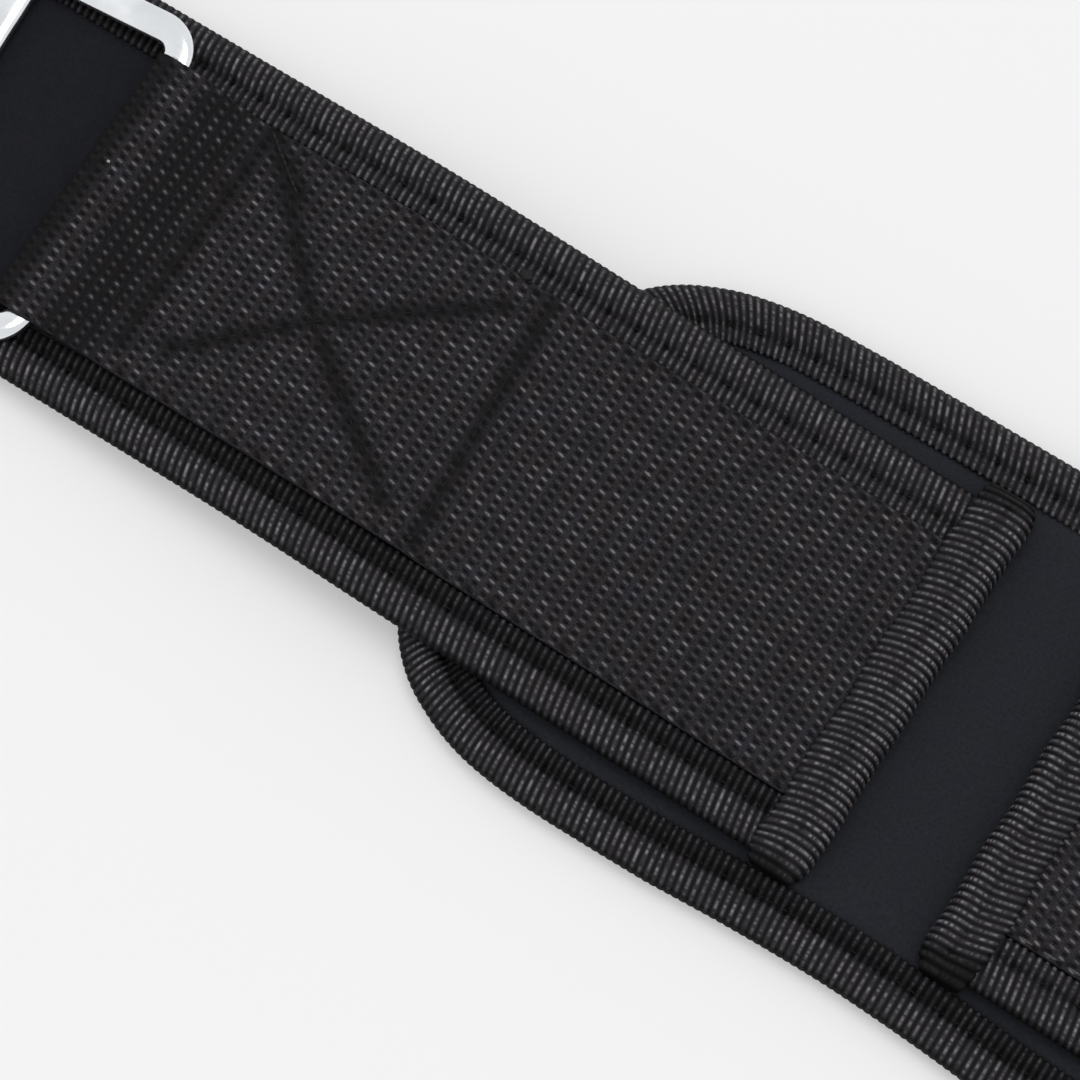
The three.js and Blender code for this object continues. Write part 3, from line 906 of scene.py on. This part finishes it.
def add_thickness(sheet):
    """Turns the sheet's long edges down to a flat underside and closes that."""
    limit = WEBBING_WIDTH / 2 - 1e-5
    select_points(sheet, np.abs(points(sheet)[:, 1]) > limit)
    bpy.ops.object.mode_set(mode="EDIT")
    for height, draw in ((-0.0003, 1.005), (-0.00088, 0.99)):
        bpy.ops.mesh.extrude_edges_move(TRANSFORM_OT_translate={"value": (0, 0, -0.0001)})
        bpy.ops.transform.resize(value=(1, draw, 0), center_override=(0, 0, height))
    bpy.ops.mesh.bridge_edge_loops()
    done()


def select_points(piece, chosen):
    """Leaves just these points selected, for the next turn in edit mode."""
    edit(piece)
    bpy.ops.mesh.select_all(action="DESELECT")
    done()
    piece.data.vertices.foreach_set("select", chosen)
    bpy.context.tool_settings.mesh_select_mode = (True, False, False)


def seam_share(reach, across, seams, half_width):
    """How firmly the seams hold the webbing down, most at each needle hole."""
    share = np.zeros(len(reach))
    where = np.stack([reach, across], 1)
    for start, end in seams:
        start, end = np.array(start), np.array(end)
        length = np.linalg.norm(end - start)
        way = (end - start) / length
        along = np.clip((where - start) @ way, 0, length)
        off = np.linalg.norm(where - start - along[:, None] * way, axis=1)
        hole = holes_along(along, length, 0.0075, 0.0013)
        held = np.exp(-((off / (half_width + 0.0006 * hole)) ** 2)) * (0.82 + 0.18 * hole)
        share = np.maximum(share, held)
    return share


def row_holes(reach, across, row, start, end):
    """Needle holes of a straight seam along the webbing."""
    hole = holes_along(reach, 1.0, 0.0070, 0.0012)
    inside = (reach > start) & (reach < end)
    return inside * hole * np.exp(-(((across - row) / 0.0009) ** 2))


def follow(piece, line):
    """Carries a flat piece along a line of reach and height, so that its X is the way along it."""
    far = np.concatenate([[0], np.cumsum(np.linalg.norm(np.diff(line, axis=0), axis=1))])
    ahead = np.vstack([line[1:], line[-1:]]) - np.vstack([line[:1], line[:-1]])
    ahead /= np.linalg.norm(ahead, axis=1)[:, None]
    places = points(piece)
    at = [np.interp(places[:, 0], far, column) for column in (*line.T, *ahead.T)]
    reach = at[0] - at[3] * places[:, 2]
    height = at[1] + at[2] * places[:, 2]
    put_points(piece, np.stack([-reach, -places[:, 1], height], 1))


def webbing_middle(reach):
    """Height of the upper layer's middle over the wing's underside."""
    half = WEBBING_THICKNESS / 2
    one, two = WEBBING_BASE + half, WEBBING_BASE + 3 * half
    climb = smooth((reach - BOX_INNER_SEAM + LAYER_RAMP) / LAYER_RAMP)
    rise = smooth((reach - BOX_OUTER_SEAM) / (FOLD_FLAT_REACH + 0.004 - BOX_OUTER_SEAM))
    return one + climb * (two - one) + rise * (FOLD_AXIS_HEIGHT + FOLD_RADIUS - two)


def webbing_line():
    """Middle line of the left webbing: along the wing, over the ring's bar and back below."""
    reach = np.linspace(WEBBING_START, FOLD_FLAT_REACH, 700)
    angles = np.linspace(math.pi / 2, -math.pi / 2, 40)
    nose = np.stack([
        FOLD_AXIS_REACH + FOLD_RADIUS * np.cos(angles), FOLD_AXIS_HEIGHT + FOLD_RADIUS * np.sin(angles)], 1)
    back = np.linspace(FOLD_AXIS_REACH, BOX_INNER_SEAM + 0.004, 120)[1:]
    back = np.stack([back, np.full(119, WEBBING_BASE + WEBBING_THICKNESS / 2)], 1)
    return np.vstack([np.stack([reach, webbing_middle(reach)], 1), nose, back])


# foam


def near_edge(places, line):
    """How far each place is from the nearest point of a line, and the way straight off it."""
    far, way = np.empty(len(places)), np.empty((len(places), 2))
    for start in range(0, len(places), 2000):
        part = places[start : start + 2000]
        apart = part[:, None] - line[None]
        size = np.linalg.norm(apart, axis=2)
        nearest = size.argmin(1)
        rows = np.arange(len(part))
        far[start : start + 2000] = size[rows, nearest]
        way[start : start + 2000] = apart[rows, nearest] / np.maximum(size[rows, nearest], 1e-6)[:, None]
    return far, way


def foam(name, line, closed, thickness, rise):
    """Foam in its cover: a remeshed slab swollen by cloth pressure, its rim held by the binding."""
    edge = evenly(inset_line(line, 0.0040, closed), 220, closed)
    bpy.ops.object.select_all(action="DESELECT")
    bpy.ops.mesh.primitive_circle_add(vertices=len(edge), fill_type="NGON")
    slab = added(name)
    put_points(slab, np.hstack([edge, np.full((len(edge), 1), 0.0014)]))
    edit(slab)
    bpy.ops.mesh.extrude_region_move(TRANSFORM_OT_translate={"value": (0, 0, thickness - 0.0028)})
    bpy.ops.mesh.select_all(action="SELECT")
    bpy.ops.mesh.normals_make_consistent(inside=False)
    done()
    finish_with(slab, "REMESH", mode="VOXEL", voxel_size=FOAM_CELL, use_smooth_shade=True)
    places = points(slab)
    upper = places[:, 2] > thickness / 2
    far, way = near_edge(places[:, :2], line)
    places[:, 2] = np.where(upper, thickness - 0.0003, 0.0002)
    put_points(slab, places)
    swell(slab, np.flatnonzero(far < BINDING_COVER - 0.001))
    lift = np.clip(points(slab)[:, 2] - places[:, 2], 0, rise(places))
    places[:, 2] += np.where(upper, lift, 0)
    put_points(slab, places)
    finish_with(slab, "SMOOTH", factor=0.5, iterations=4, use_x=False, use_y=False)
    # the tape squeezes the rim, and the cover comes out from under its inner edge
    places = points(slab)
    held, edging = far < BINDING_COVER - FOAM_CELL / 2, np.abs(far - BINDING_COVER) <= FOAM_CELL / 2
    places[:, 2] = np.where(held, np.where(upper, 0.66, 0.30) * thickness, places[:, 2])
    places[:, 2] = np.where(edging & upper, 0.90 * thickness, places[:, 2])
    places[:, :2] += np.where(edging, BINDING_COVER - 0.0004 - far, 0)[:, None] * way
    put_points(slab, places)
    finish_with(slab, "SUBSURF", levels=1, render_levels=1)
    only(slab)
    bpy.ops.object.shade_smooth()
    return slab


def swell(slab, held):
    """Cloth pressure on a foam cover, with its rim held."""
    slab.vertex_groups.new(name="rim").add(held.tolist(), 1.0, "REPLACE")
    cloth = slab.modifiers.new("Cover", "CLOTH")
    cloth.settings.vertex_group_mass = "rim"
    cloth.settings.use_pressure = True
    cloth.settings.uniform_pressure_force = 4
    cloth.settings.effector_weights.gravity = 0
    for moment in range(1, 21):
        bpy.context.scene.frame_set(moment)
    only(slab)
    bpy.ops.object.modifier_apply(modifier=cloth.name)
    slab.vertex_groups.clear()


# thread


def thread_row(name, line, closed=False, pitch=THREAD_PITCH, thick=0.00045, long=0.0024):
    """Stitches of one seam: a small loop of thread, repeated and bent along the seam's line."""
    length = length_of(line, closed)
    count = max(1, round(length / pitch))
    bpy.ops.object.select_all(action="DESELECT")
    bpy.ops.mesh.primitive_uv_sphere_add(segments=6, ring_count=5, radius=0.5)
    row = added(name)
    edit(row)
    bpy.ops.transform.rotate(value=math.pi / 2, orient_axis="Y", center_override=(0, 0, 0))
    bpy.ops.transform.resize(value=(long, thick, thick), center_override=(0, 0, 0))
    bpy.ops.transform.translate(value=(length / count / 2, 0, 0))
    done()
    step = (length / count, 0, 0)
    finish_with(row, "ARRAY", count=count, use_relative_offset=False, use_constant_offset=True,
                constant_offset_displace=step)
    bend_along(row, line, closed)
    only(row)
    bpy.ops.object.shade_smooth()
    return row


def at_height(line, height):
    return np.hstack([line, np.full((len(line), 1), height)])


def over_webbing(start, end, lift):
    """A line between two places on the left webbing, just over its upper layer."""
    flat = evenly(np.array([start, end]), 40)
    return np.stack([-flat[:, 0], flat[:, 1], webbing_middle(flat[:, 0]) + WEBBING_THICKNESS / 2 + lift], 1)


def knot(name, place, size):
    """A lump of wound thread where a seam was locked."""
    bpy.ops.object.select_all(action="DESELECT")
    bpy.ops.mesh.primitive_uv_sphere_add(segments=20, ring_count=12, radius=0.5)
    lump = added(name)
    places = points(lump)
    turn = np.arctan2(places[:, 1], places[:, 0])
    places *= (1 + 0.10 * np.sin(5 * turn + 14 * places[:, 2]))[:, None]
    put_points(lump, places)
    edit(lump)
    bpy.ops.transform.resize(value=size, center_override=(0, 0, 0))
    bpy.ops.transform.translate(value=place)
    done()
    bpy.ops.object.shade_smooth()
    return lump


# fastening patches


def patch(name, start, end, cells, fuzz, seed):
    """A flat patch sewn to the strap, with a fuzzy or plain face and a sunken seam."""
    bpy.ops.object.select_all(action="DESELECT")
    bpy.ops.mesh.primitive_grid_add(x_subdivisions=cells[0], y_subdivisions=cells[1], size=1)
    made = added(name)
    places = points(made)
    places[:, 0] = start + (places[:, 0] + 0.5) * (end - start)
    places[:, 1] *= PATCH_WIDTH
    from_end = np.minimum(places[:, 0] - start, end - places[:, 0])
    inset = np.minimum(from_end, PATCH_WIDTH / 2 - np.abs(places[:, 1]))
    chance = np.random.default_rng(seed)
    height = PATCH_BASE + PATCH_THICKNESS - fuzz + fuzz * chance.random(len(places))
    height -= 0.0005 * np.exp(-(((inset - PATCH_SEAM) / 0.0008) ** 2))
    places[:, 2] = height - 0.0006 * np.clip(1 - inset / 0.0012, 0, 1) ** 2
    put_points(made, places)
    edit(made)
    bpy.ops.mesh.select_all(action="DESELECT")
    bpy.ops.mesh.select_non_manifold()
    bpy.ops.mesh.extrude_edges_move(TRANSFORM_OT_translate={"value": (0, 0, -0.0001)})
    bpy.ops.transform.resize(value=(1, 1, 0), center_override=(0, 0, WEBBING_THICKNESS - 0.00005))
    done()
    close_up(made)
    return made


def patch_seam(start, end):
    """The sewing line round a patch."""
    left, right, side = start + PATCH_SEAM, end - PATCH_SEAM, PATCH_WIDTH / 2 - PATCH_SEAM
    corners = np.array([(left, -side), (right, -side), (right, side), (left, side)])
    return evenly(corners, 200, closed=True)


def hook_field(name, start, end):
    """One stiff bent hook, repeated over the patch inside its seam."""
    bpy.ops.object.select_all(action="DESELECT")
    bpy.ops.mesh.primitive_circle_add(vertices=5, radius=0.00016)
    hooks = added(name)
    edit(hooks)
    for step, lean in HOOK_BENDS:
        bpy.ops.mesh.extrude_edges_move(TRANSFORM_OT_translate={"value": step})
        middle = np.mean([vertex.co for vertex in chosen_points(hooks)], 0)
        bpy.ops.transform.rotate(value=-lean, orient_axis="Y", center_override=tuple(middle))
    inset = PATCH_SEAM + 0.002
    across, along = PATCH_WIDTH / 2 - inset, end - start - 2 * inset
    bpy.ops.mesh.select_all(action="SELECT")
    bpy.ops.transform.translate(value=(start + inset, -across, PATCH_BASE + 0.0009))
    done()
    repeat(hooks, HOOK_ROWS, (0, 2 * across / (HOOK_ROWS - 1), 0))
    repeat(hooks, HOOK_COLUMNS, (along / (HOOK_COLUMNS - 1), 0, 0))
    close_up(hooks)
    return hooks


def chosen_points(piece):
    piece.update_from_editmode()
    return [vertex for vertex in piece.data.vertices if vertex.select]


# ring


def ring_stations():
    """Inner and outer edge of the ring's bar, all the way round, from its held bar."""
    half_bar, half_opening = RING_BAR_WIDTH / 2, RING_ACROSS / 2
    reach = RING_BAR_WIDTH + RING_ALONG
    held = WEBBING_WIDTH / 2 + RING_SHIFT + CLEARANCE

    def corner(near, far, side, radius):
        turn = np.linspace(0, math.pi / 2, 14)
        first = np.stack([near + radius * (1 - np.cos(turn)), side - radius * (1 - np.sin(turn))], 1)
        middle = np.stack([np.linspace(near + radius, far - radius, 12)[1:-1], np.full(10, side)], 1)
        second = np.stack([far - radius * (1 - np.sin(turn)), side - radius * (1 - np.cos(turn))], 1)
        return np.vstack([first, middle, second])

    inner = corner(half_bar, reach - half_bar, half_opening, RING_INNER_CORNER)
    outer = corner(-half_bar, reach + half_bar, half_opening + RING_BAR_WIDTH, RING_OUTER_CORNER)
    straight = np.linspace(0, held, 10)[:, None]
    bar = np.hstack([np.full((10, 1), RING_HELD_BAR / 2), straight])
    inner = np.vstack([bar, inner])
    outer = np.vstack([bar * (-1, 1), outer])
    inner = np.vstack([inner, [[reach - half_bar, 0]]])
    outer = np.vstack([outer, [[reach + half_bar, 0]]])
    thick = np.full(len(inner), RING_BAR_THICKNESS)
    thick[:10] = RING_HELD_BAR
    back = slice(-2, 0, -1)
    inner = np.vstack([inner, inner[back] * (1, -1)])
    outer = np.vstack([outer, outer[back] * (1, -1)])
    return inner, outer, np.concatenate([thick, thick[back]])


def turned(first, second, angle):
    """Two coordinates, turned by an angle."""
    cos, sin = math.cos(angle), math.sin(angle)
    return cos * first - sin * second, sin * first + cos * second


def metal_ring(name, pivot):
    """A torus drawn out to the ring's rounded rectangle, with a flat oval bar."""
    inner, outer, thick = ring_stations()
    around = 32
    bpy.ops.object.select_all(action="DESELECT")
    bpy.ops.mesh.primitive_torus_add(
        major_segments=len(inner), minor_segments=around, major_radius=1, minor_radius=0.2)
    ring = added(name)
    angles = np.arange(around) * 2 * math.pi / around
    oval = np.stack([np.cos(angles), np.sin(angles)], 1)
    oval = np.sign(oval) * np.abs(oval) ** (2 / RING_SQUARENESS)
    middle, half = (inner + outer) / 2, (outer - inner) / 2
    flat = middle[:, None] + half[:, None] * oval[None, :, :1]
    height = thick[:, None] / 2 * oval[None, :, 1]
    places = np.concatenate([flat, height[..., None]], 2).reshape(-1, 3)
    rest = WING_THICKNESS + CLEARANCE + RING_BAR_THICKNESS / 2
    far_reach = RING_BAR_REACH + RING_BAR_WIDTH + RING_ALONG
    tilt = math.atan2(pivot[2] - wing_height(far_reach) - rest, far_reach + pivot[0])
    reach, height = turned(places[:, 0], places[:, 2], -tilt)
    reach, across = turned(reach, places[:, 1], math.pi + RING_TURN)
    put_points(ring, np.stack([reach, across, height], 1) + np.array(pivot))
    close_up(ring)
    return ring


# scene


def look_from(tilt, turn, distance):
    """Place and turn of something that looks at the camera's target."""
    back = Vector((math.sin(turn) * math.sin(tilt), -math.cos(turn) * math.sin(tilt), math.cos(tilt)))
    return Vector(CAMERA_TARGET) + back * distance, (tilt, 0, turn)


def make_camera():
    place, rotation = look_from(CAMERA_TILT, CAMERA_TURN, CAMERA_DISTANCE)
    bpy.ops.object.camera_add(location=place, rotation=rotation)
    camera = bpy.context.object
    camera.data.lens = CAMERA_LENS
    camera.data.clip_start = 0.01
    bpy.context.scene.camera = camera
    bpy.context.scene.view_settings.view_transform = "Standard"


def make_light():
    """Even white surroundings, and one broad soft lamp from the upper right of the view."""
    world = bpy.data.worlds.new("studio")
    bpy.context.scene.world = world
    world.use_nodes = True
    surroundings = world.node_tree.nodes["Background"].inputs
    surroundings["Color"].default_value = (1, 1, 1, 1)
    surroundings["Strength"].default_value = WORLD_STRENGTH
    place, rotation = look_from(LAMP_TILT, LAMP_TURN, 1.6)
    bpy.ops.object.light_add(type="SUN", location=place, rotation=rotation)
    lamp = bpy.context.object
    lamp.name = "soft_lamp"
    lamp.data.energy, lamp.data.angle = LAMP_POWER, LAMP_SPREAD


def make_table():
    bpy.ops.object.select_all(action="DESELECT")
    bpy.ops.mesh.primitive_plane_add(size=8, location=(0, 0, -0.0002))
    table = added("table")
    bpy.ops.object.transform_apply(location=True, rotation=True, scale=True)
    material, tree, shader = new_material("pale_table", specular=0.0)
    where = node(tree, "ShaderNodeTexCoord").outputs["Object"]
    cloudy = node(tree, "ShaderNodeTexNoise", {"Vector": where, "Scale": 3.0})
    colour = between(tree, cloudy.outputs["Fac"], (0.545, 0.545, 0.545), (0.555, 0.555, 0.555))
    tree.links.new(colour, shader.inputs["Base Color"])
    shader.inputs["Roughness"].default_value = 0.95
    shader.inputs["Emission Color"].default_value = (1, 1, 1, 1)
    shader.inputs["Emission Strength"].default_value = 0.295
    dress(table, material)


def pad_rise(places):
    """How far the pad's cover may swell: least where a wing lies on it."""
    under = (np.abs(places[:, 1]) < WING_WIDTH / 2 + 0.001) & (np.abs(places[:, 0]) > TAPE_NOSE - 0.001)
    return np.where(under, 0.0002, 0.0009)


def wing_rise(places):
    """How far a wing's cover may swell."""
    return np.full(len(places), 0.0002)


def keep(piece, material, body, replaced=None):
    """Gives a finished piece its material and body, and hides the solid that it stands for."""
    dress(piece, material)
    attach(piece, body)
    if replaced:
        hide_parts(replaced)


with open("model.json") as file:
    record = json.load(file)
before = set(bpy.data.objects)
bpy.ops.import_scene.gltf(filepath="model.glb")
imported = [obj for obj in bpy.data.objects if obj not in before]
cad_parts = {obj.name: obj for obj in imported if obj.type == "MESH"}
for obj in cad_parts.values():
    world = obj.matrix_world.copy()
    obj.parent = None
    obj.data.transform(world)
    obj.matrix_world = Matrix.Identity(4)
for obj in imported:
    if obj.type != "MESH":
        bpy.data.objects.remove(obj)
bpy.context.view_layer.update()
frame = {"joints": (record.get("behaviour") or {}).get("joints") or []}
bpy.ops.object.select_all(action="DESELECT")
make_camera()
make_light()
tone, ribs, floats = tone_group(), rib_group(), weave_group()
make_table()
# one cover cloth in two copies: the pad's copy is painted lighter and the wings' copy darker, as painted
# light and shade
pad_cover_painted_lighter = cover_material("pad_cover_painted_lighter", tone, (0.0066, 0.0074, 0.0098), (0.0230, 0.0248, 0.0315))
cover = cover_material("wing_cover", tone, (0.0034, 0.0038, 0.0054), (0.0130, 0.0136, 0.0180))
tape_cloth = tape_material(tone, ribs, 1.7)
webbing_cloth = webbing_material(tone, floats)
black_thread = thread_material("black_thread", tone, (0.0014, 0.0014, 0.0016), (0.0075, 0.0070, 0.0076))
grey_thread = thread_material("grey_thread", tone, (0.020, 0.019, 0.019), (0.110, 0.104, 0.102))
pale_thread = thread_material("pale_thread", tone, (0.120, 0.115, 0.110), (0.460, 0.440, 0.430))
pile = pile_material(tone)
plate = metal_material(tone)

pad_line, wing_line = pad_edge(), wing_edge()

# lumbar pad and its binding
pad = foam("lumbar_cover", pad_line, True, PAD_THICKNESS, pad_rise)
keep(pad, pad_cover_painted_lighter, "belt", "lumbar_pad")

pad_tape = binding("pad_edge_tape", pad_line, True, PAD_THICKNESS, pad_lean, pad_shade)
places = points(pad_tape)
beside = np.clip(np.abs(places[:, 1]) - WING_WIDTH / 2 - 0.0004, 0, None)
places[:, 2] = np.minimum(places[:, 2], WING_LIFT - 0.0001 + 0.5 * beside)
put_points(pad_tape, places)
keep(pad_tape, tape_cloth, "belt", "pad_binding")

pad_seam = at_height(inset_line(pad_line, STITCH_INSET, True), SEAM_HEIGHT * PAD_THICKNESS)
keep(thread_row("pad_stitches", pad_seam, True), black_thread, "belt")

# wings
wing = foam("wing_cover_left", wing_line, False, WING_THICKNESS, wing_rise)
wing_tape = binding("wing_edge_tape_left", wing_line, False, WING_THICKNESS, wing_lean, wing_shade)
wing_seam = at_height(inset_line(wing_line, STITCH_INSET), SEAM_HEIGHT * WING_THICKNESS)
wing_stitches = thread_row("wing_stitches_left", wing_seam)
tape = end_tape("rolled_tape_left", TAPE_LONG_END, TAPE_SHORT_END)
other_tape = end_tape("rolled_tape_right", TAPE_SHORT_END, TAPE_LONG_END)
for piece, material, other_name, slot, solid in (
    (wing, cover, "wing_cover_right", "smooth_cover", "wing_{}"),
    (wing_tape, tape_cloth, "wing_edge_tape_right", "ribbed_binding", "wing_binding_{}"),
    (wing_stitches, black_thread, "wing_stitches_right", "ribbed_binding", ""),
):
    let_down(piece, wing_height)
    for side, half in (("left", piece), ("right", turned_copy(piece, other_name))):
        keep(half, material, "belt", solid.format(side))

for side, half in (("left", tape), ("right", other_tape)):
    let_down(half, wing_height)
    keep(half, tape_cloth, "belt", f"end_tape_{side}")
turn_over(other_tape)

# left webbing, folded back through the ring
webbing = woven_sheet("folded_webbing", 0, LEFT_REPEATS, WEAVE_ALONG, (8, 6))
note_flat(webbing, (WEAVE_ALONG, WEAVE_ACROSS))
reach, across = points(webbing)[:, 0] + WEBBING_START, -points(webbing)[:, 1]
# the seams, the crease and the needle holes sink the weave, and the material paints them as shade
pressed_and_shade = seam_share(reach, across, BOX_SEAMS, BOX_SEAM_HALF_WIDTH)
pressed_and_shade = np.maximum(pressed_and_shade, seam_share(reach, across, [CREASE], CREASE_HALF_WIDTH))
# painted shade where the fold's nose turns under, which also flattens the weave there a little
nose = WEBBING_START + points(webbing)[:, 0] - FOLD_FLAT_REACH
pressed_and_shade = np.maximum(pressed_and_shade, 0.85 * smooth((nose - 0.0015) / 0.006))
for row in (-SIDE_SEAM, SIDE_SEAM):
    pressed_and_shade = np.maximum(pressed_and_shade, row_holes(reach, across, row, SIDE_SEAM_START, LEFT_SEAM_END))
# on the slope up to the ring the columns stand apart: the lines between them sink a little, and the band is
# painted darker as shade, most in those lines
band = smooth(1.6 - 1.6 * np.abs(reach - 0.2465) / 0.0125)
column_shade = np.abs(np.cos(2 * math.pi * (reach - WEBBING_START) / WEAVE_ALONG)) ** 1.6
pressed_and_shade = np.maximum(pressed_and_shade, band * (0.12 + 0.88 * column_shade))
press(webbing, pressed_and_shade)
add_thickness(webbing)
follow(webbing, webbing_line())
places = points(webbing)
places[:, 1] *= 1 + 0.022 * smooth((-places[:, 0] - 0.238) / 0.022)
put_points(webbing, places)
let_down(webbing, wing_height)
close_up(webbing)
keep(webbing, webbing_cloth, "belt", "webbing_left")

seams = [
    thread_row("box_stitches", over_webbing(*seam, -0.00085), **BOX_STITCH)
    for seam in BOX_SEAMS
]
seams.append(thread_row("braid", over_webbing(*CREASE, -0.0009), **BRAID_STITCH))
for out, side, size in KNOTS:
    height = webbing_middle(out) + WEBBING_THICKNESS / 2 - 0.0006
    seams.append(knot("knot", (-out, side, height), (size, 0.8 * size, 0.0012)))
box_stitches = joined(seams, "box_stitches")
lower_line = over_webbing((0.2300, -SIDE_THREAD), (SIDE_SEAM_START, -SIDE_THREAD), -0.0006)
lower_row = thread_row("lower_row_stitches", lower_line, **SIDE_STITCH)
fleck_height = FOLD_AXIS_HEIGHT + FOLD_RADIUS + 0.0011
fleck = knot("fleck", (-0.2628, 0.0066, fleck_height), (0.0009, 0.0008, 0.0005))
for piece, material in (
    (box_stitches, black_thread), (lower_row, black_thread), (fleck, pale_thread),
):
    let_down(piece, wing_height)
    keep(piece, material, "belt")

# closing strap with its patches
strap_along = (STRAP_TIP - WEBBING_START) / STRAP_REPEATS
strap = woven_sheet("closing_strap", WEBBING_START, STRAP_REPEATS, strap_along, (8, 4))
note_flat(strap, (strap_along, WEAVE_ACROSS))
reach, across = points(strap)[:, 0], points(strap)[:, 1]
above, below = (
    row_holes(reach, across, row, SIDE_SEAM_START, STRAP_SEAM_END) for row in (SIDE_SEAM, -SIDE_SEAM))
press(strap, np.maximum(above, below))
places = points(strap)
tip = np.clip(places[:, 0] - (STRAP_TIP - STRAP_TIP_CORNER), 0, STRAP_TIP_CORNER)
places[:, 1] *= 1 - (STRAP_TIP_CORNER - np.sqrt(STRAP_TIP_CORNER**2 - tip**2)) / (WEBBING_WIDTH / 2)
put_points(strap, places)
add_thickness(strap)
put_points(strap, points(strap) + (0, 0, WEBBING_THICKNESS / 2))
let_down(strap, strap_height)
close_up(strap)
keep(strap, webbing_cloth, "belt", "closure_strap")

strap_row = np.linspace((SIDE_SEAM_START, -SIDE_THREAD), (STRAP_SEAM_END, -SIDE_THREAD), 60)
strap_row = at_height(strap_row, WEBBING_BASE + WEBBING_THICKNESS - 0.0006)
strap_stitches = thread_row("strap_row_stitches", strap_row, **SIDE_STITCH)
let_down(strap_stitches, wing_height)
keep(strap_stitches, grey_thread, "belt")

loop_patch = patch("loop_pile", *LOOP_PATCH, (92, 58), 0.0006, 5)
keep(loop_patch, pile, "belt", "loop_patch")
hook_patch = patch("hook_backing", *HOOK_PATCH, (66, 58), 0.00005, 6)
places = points(hook_patch)
places[:, 2] = np.minimum(places[:, 2], PATCH_BASE + 0.0009)
put_points(hook_patch, places)
keep(hook_patch, pile, "belt", "hook_patch")
hooks = hook_field("hook_rows", *HOOK_PATCH)
keep(hooks, black_thread, "belt")
patch_seams = [
    thread_row("patch_stitches", at_height(patch_seam(*ends), PATCH_BASE + lift), True)
    for ends, lift in ((LOOP_PATCH, 0.0008), (HOOK_PATCH, 0.0007))
]
patch_stitches = joined(patch_seams, "patch_stitches")
keep(patch_stitches, grey_thread, "belt")

# ring
ring = metal_ring("buckle_ring", frame["joints"][0]["pos_m"])
keep(ring, plate, "ring", "ring")
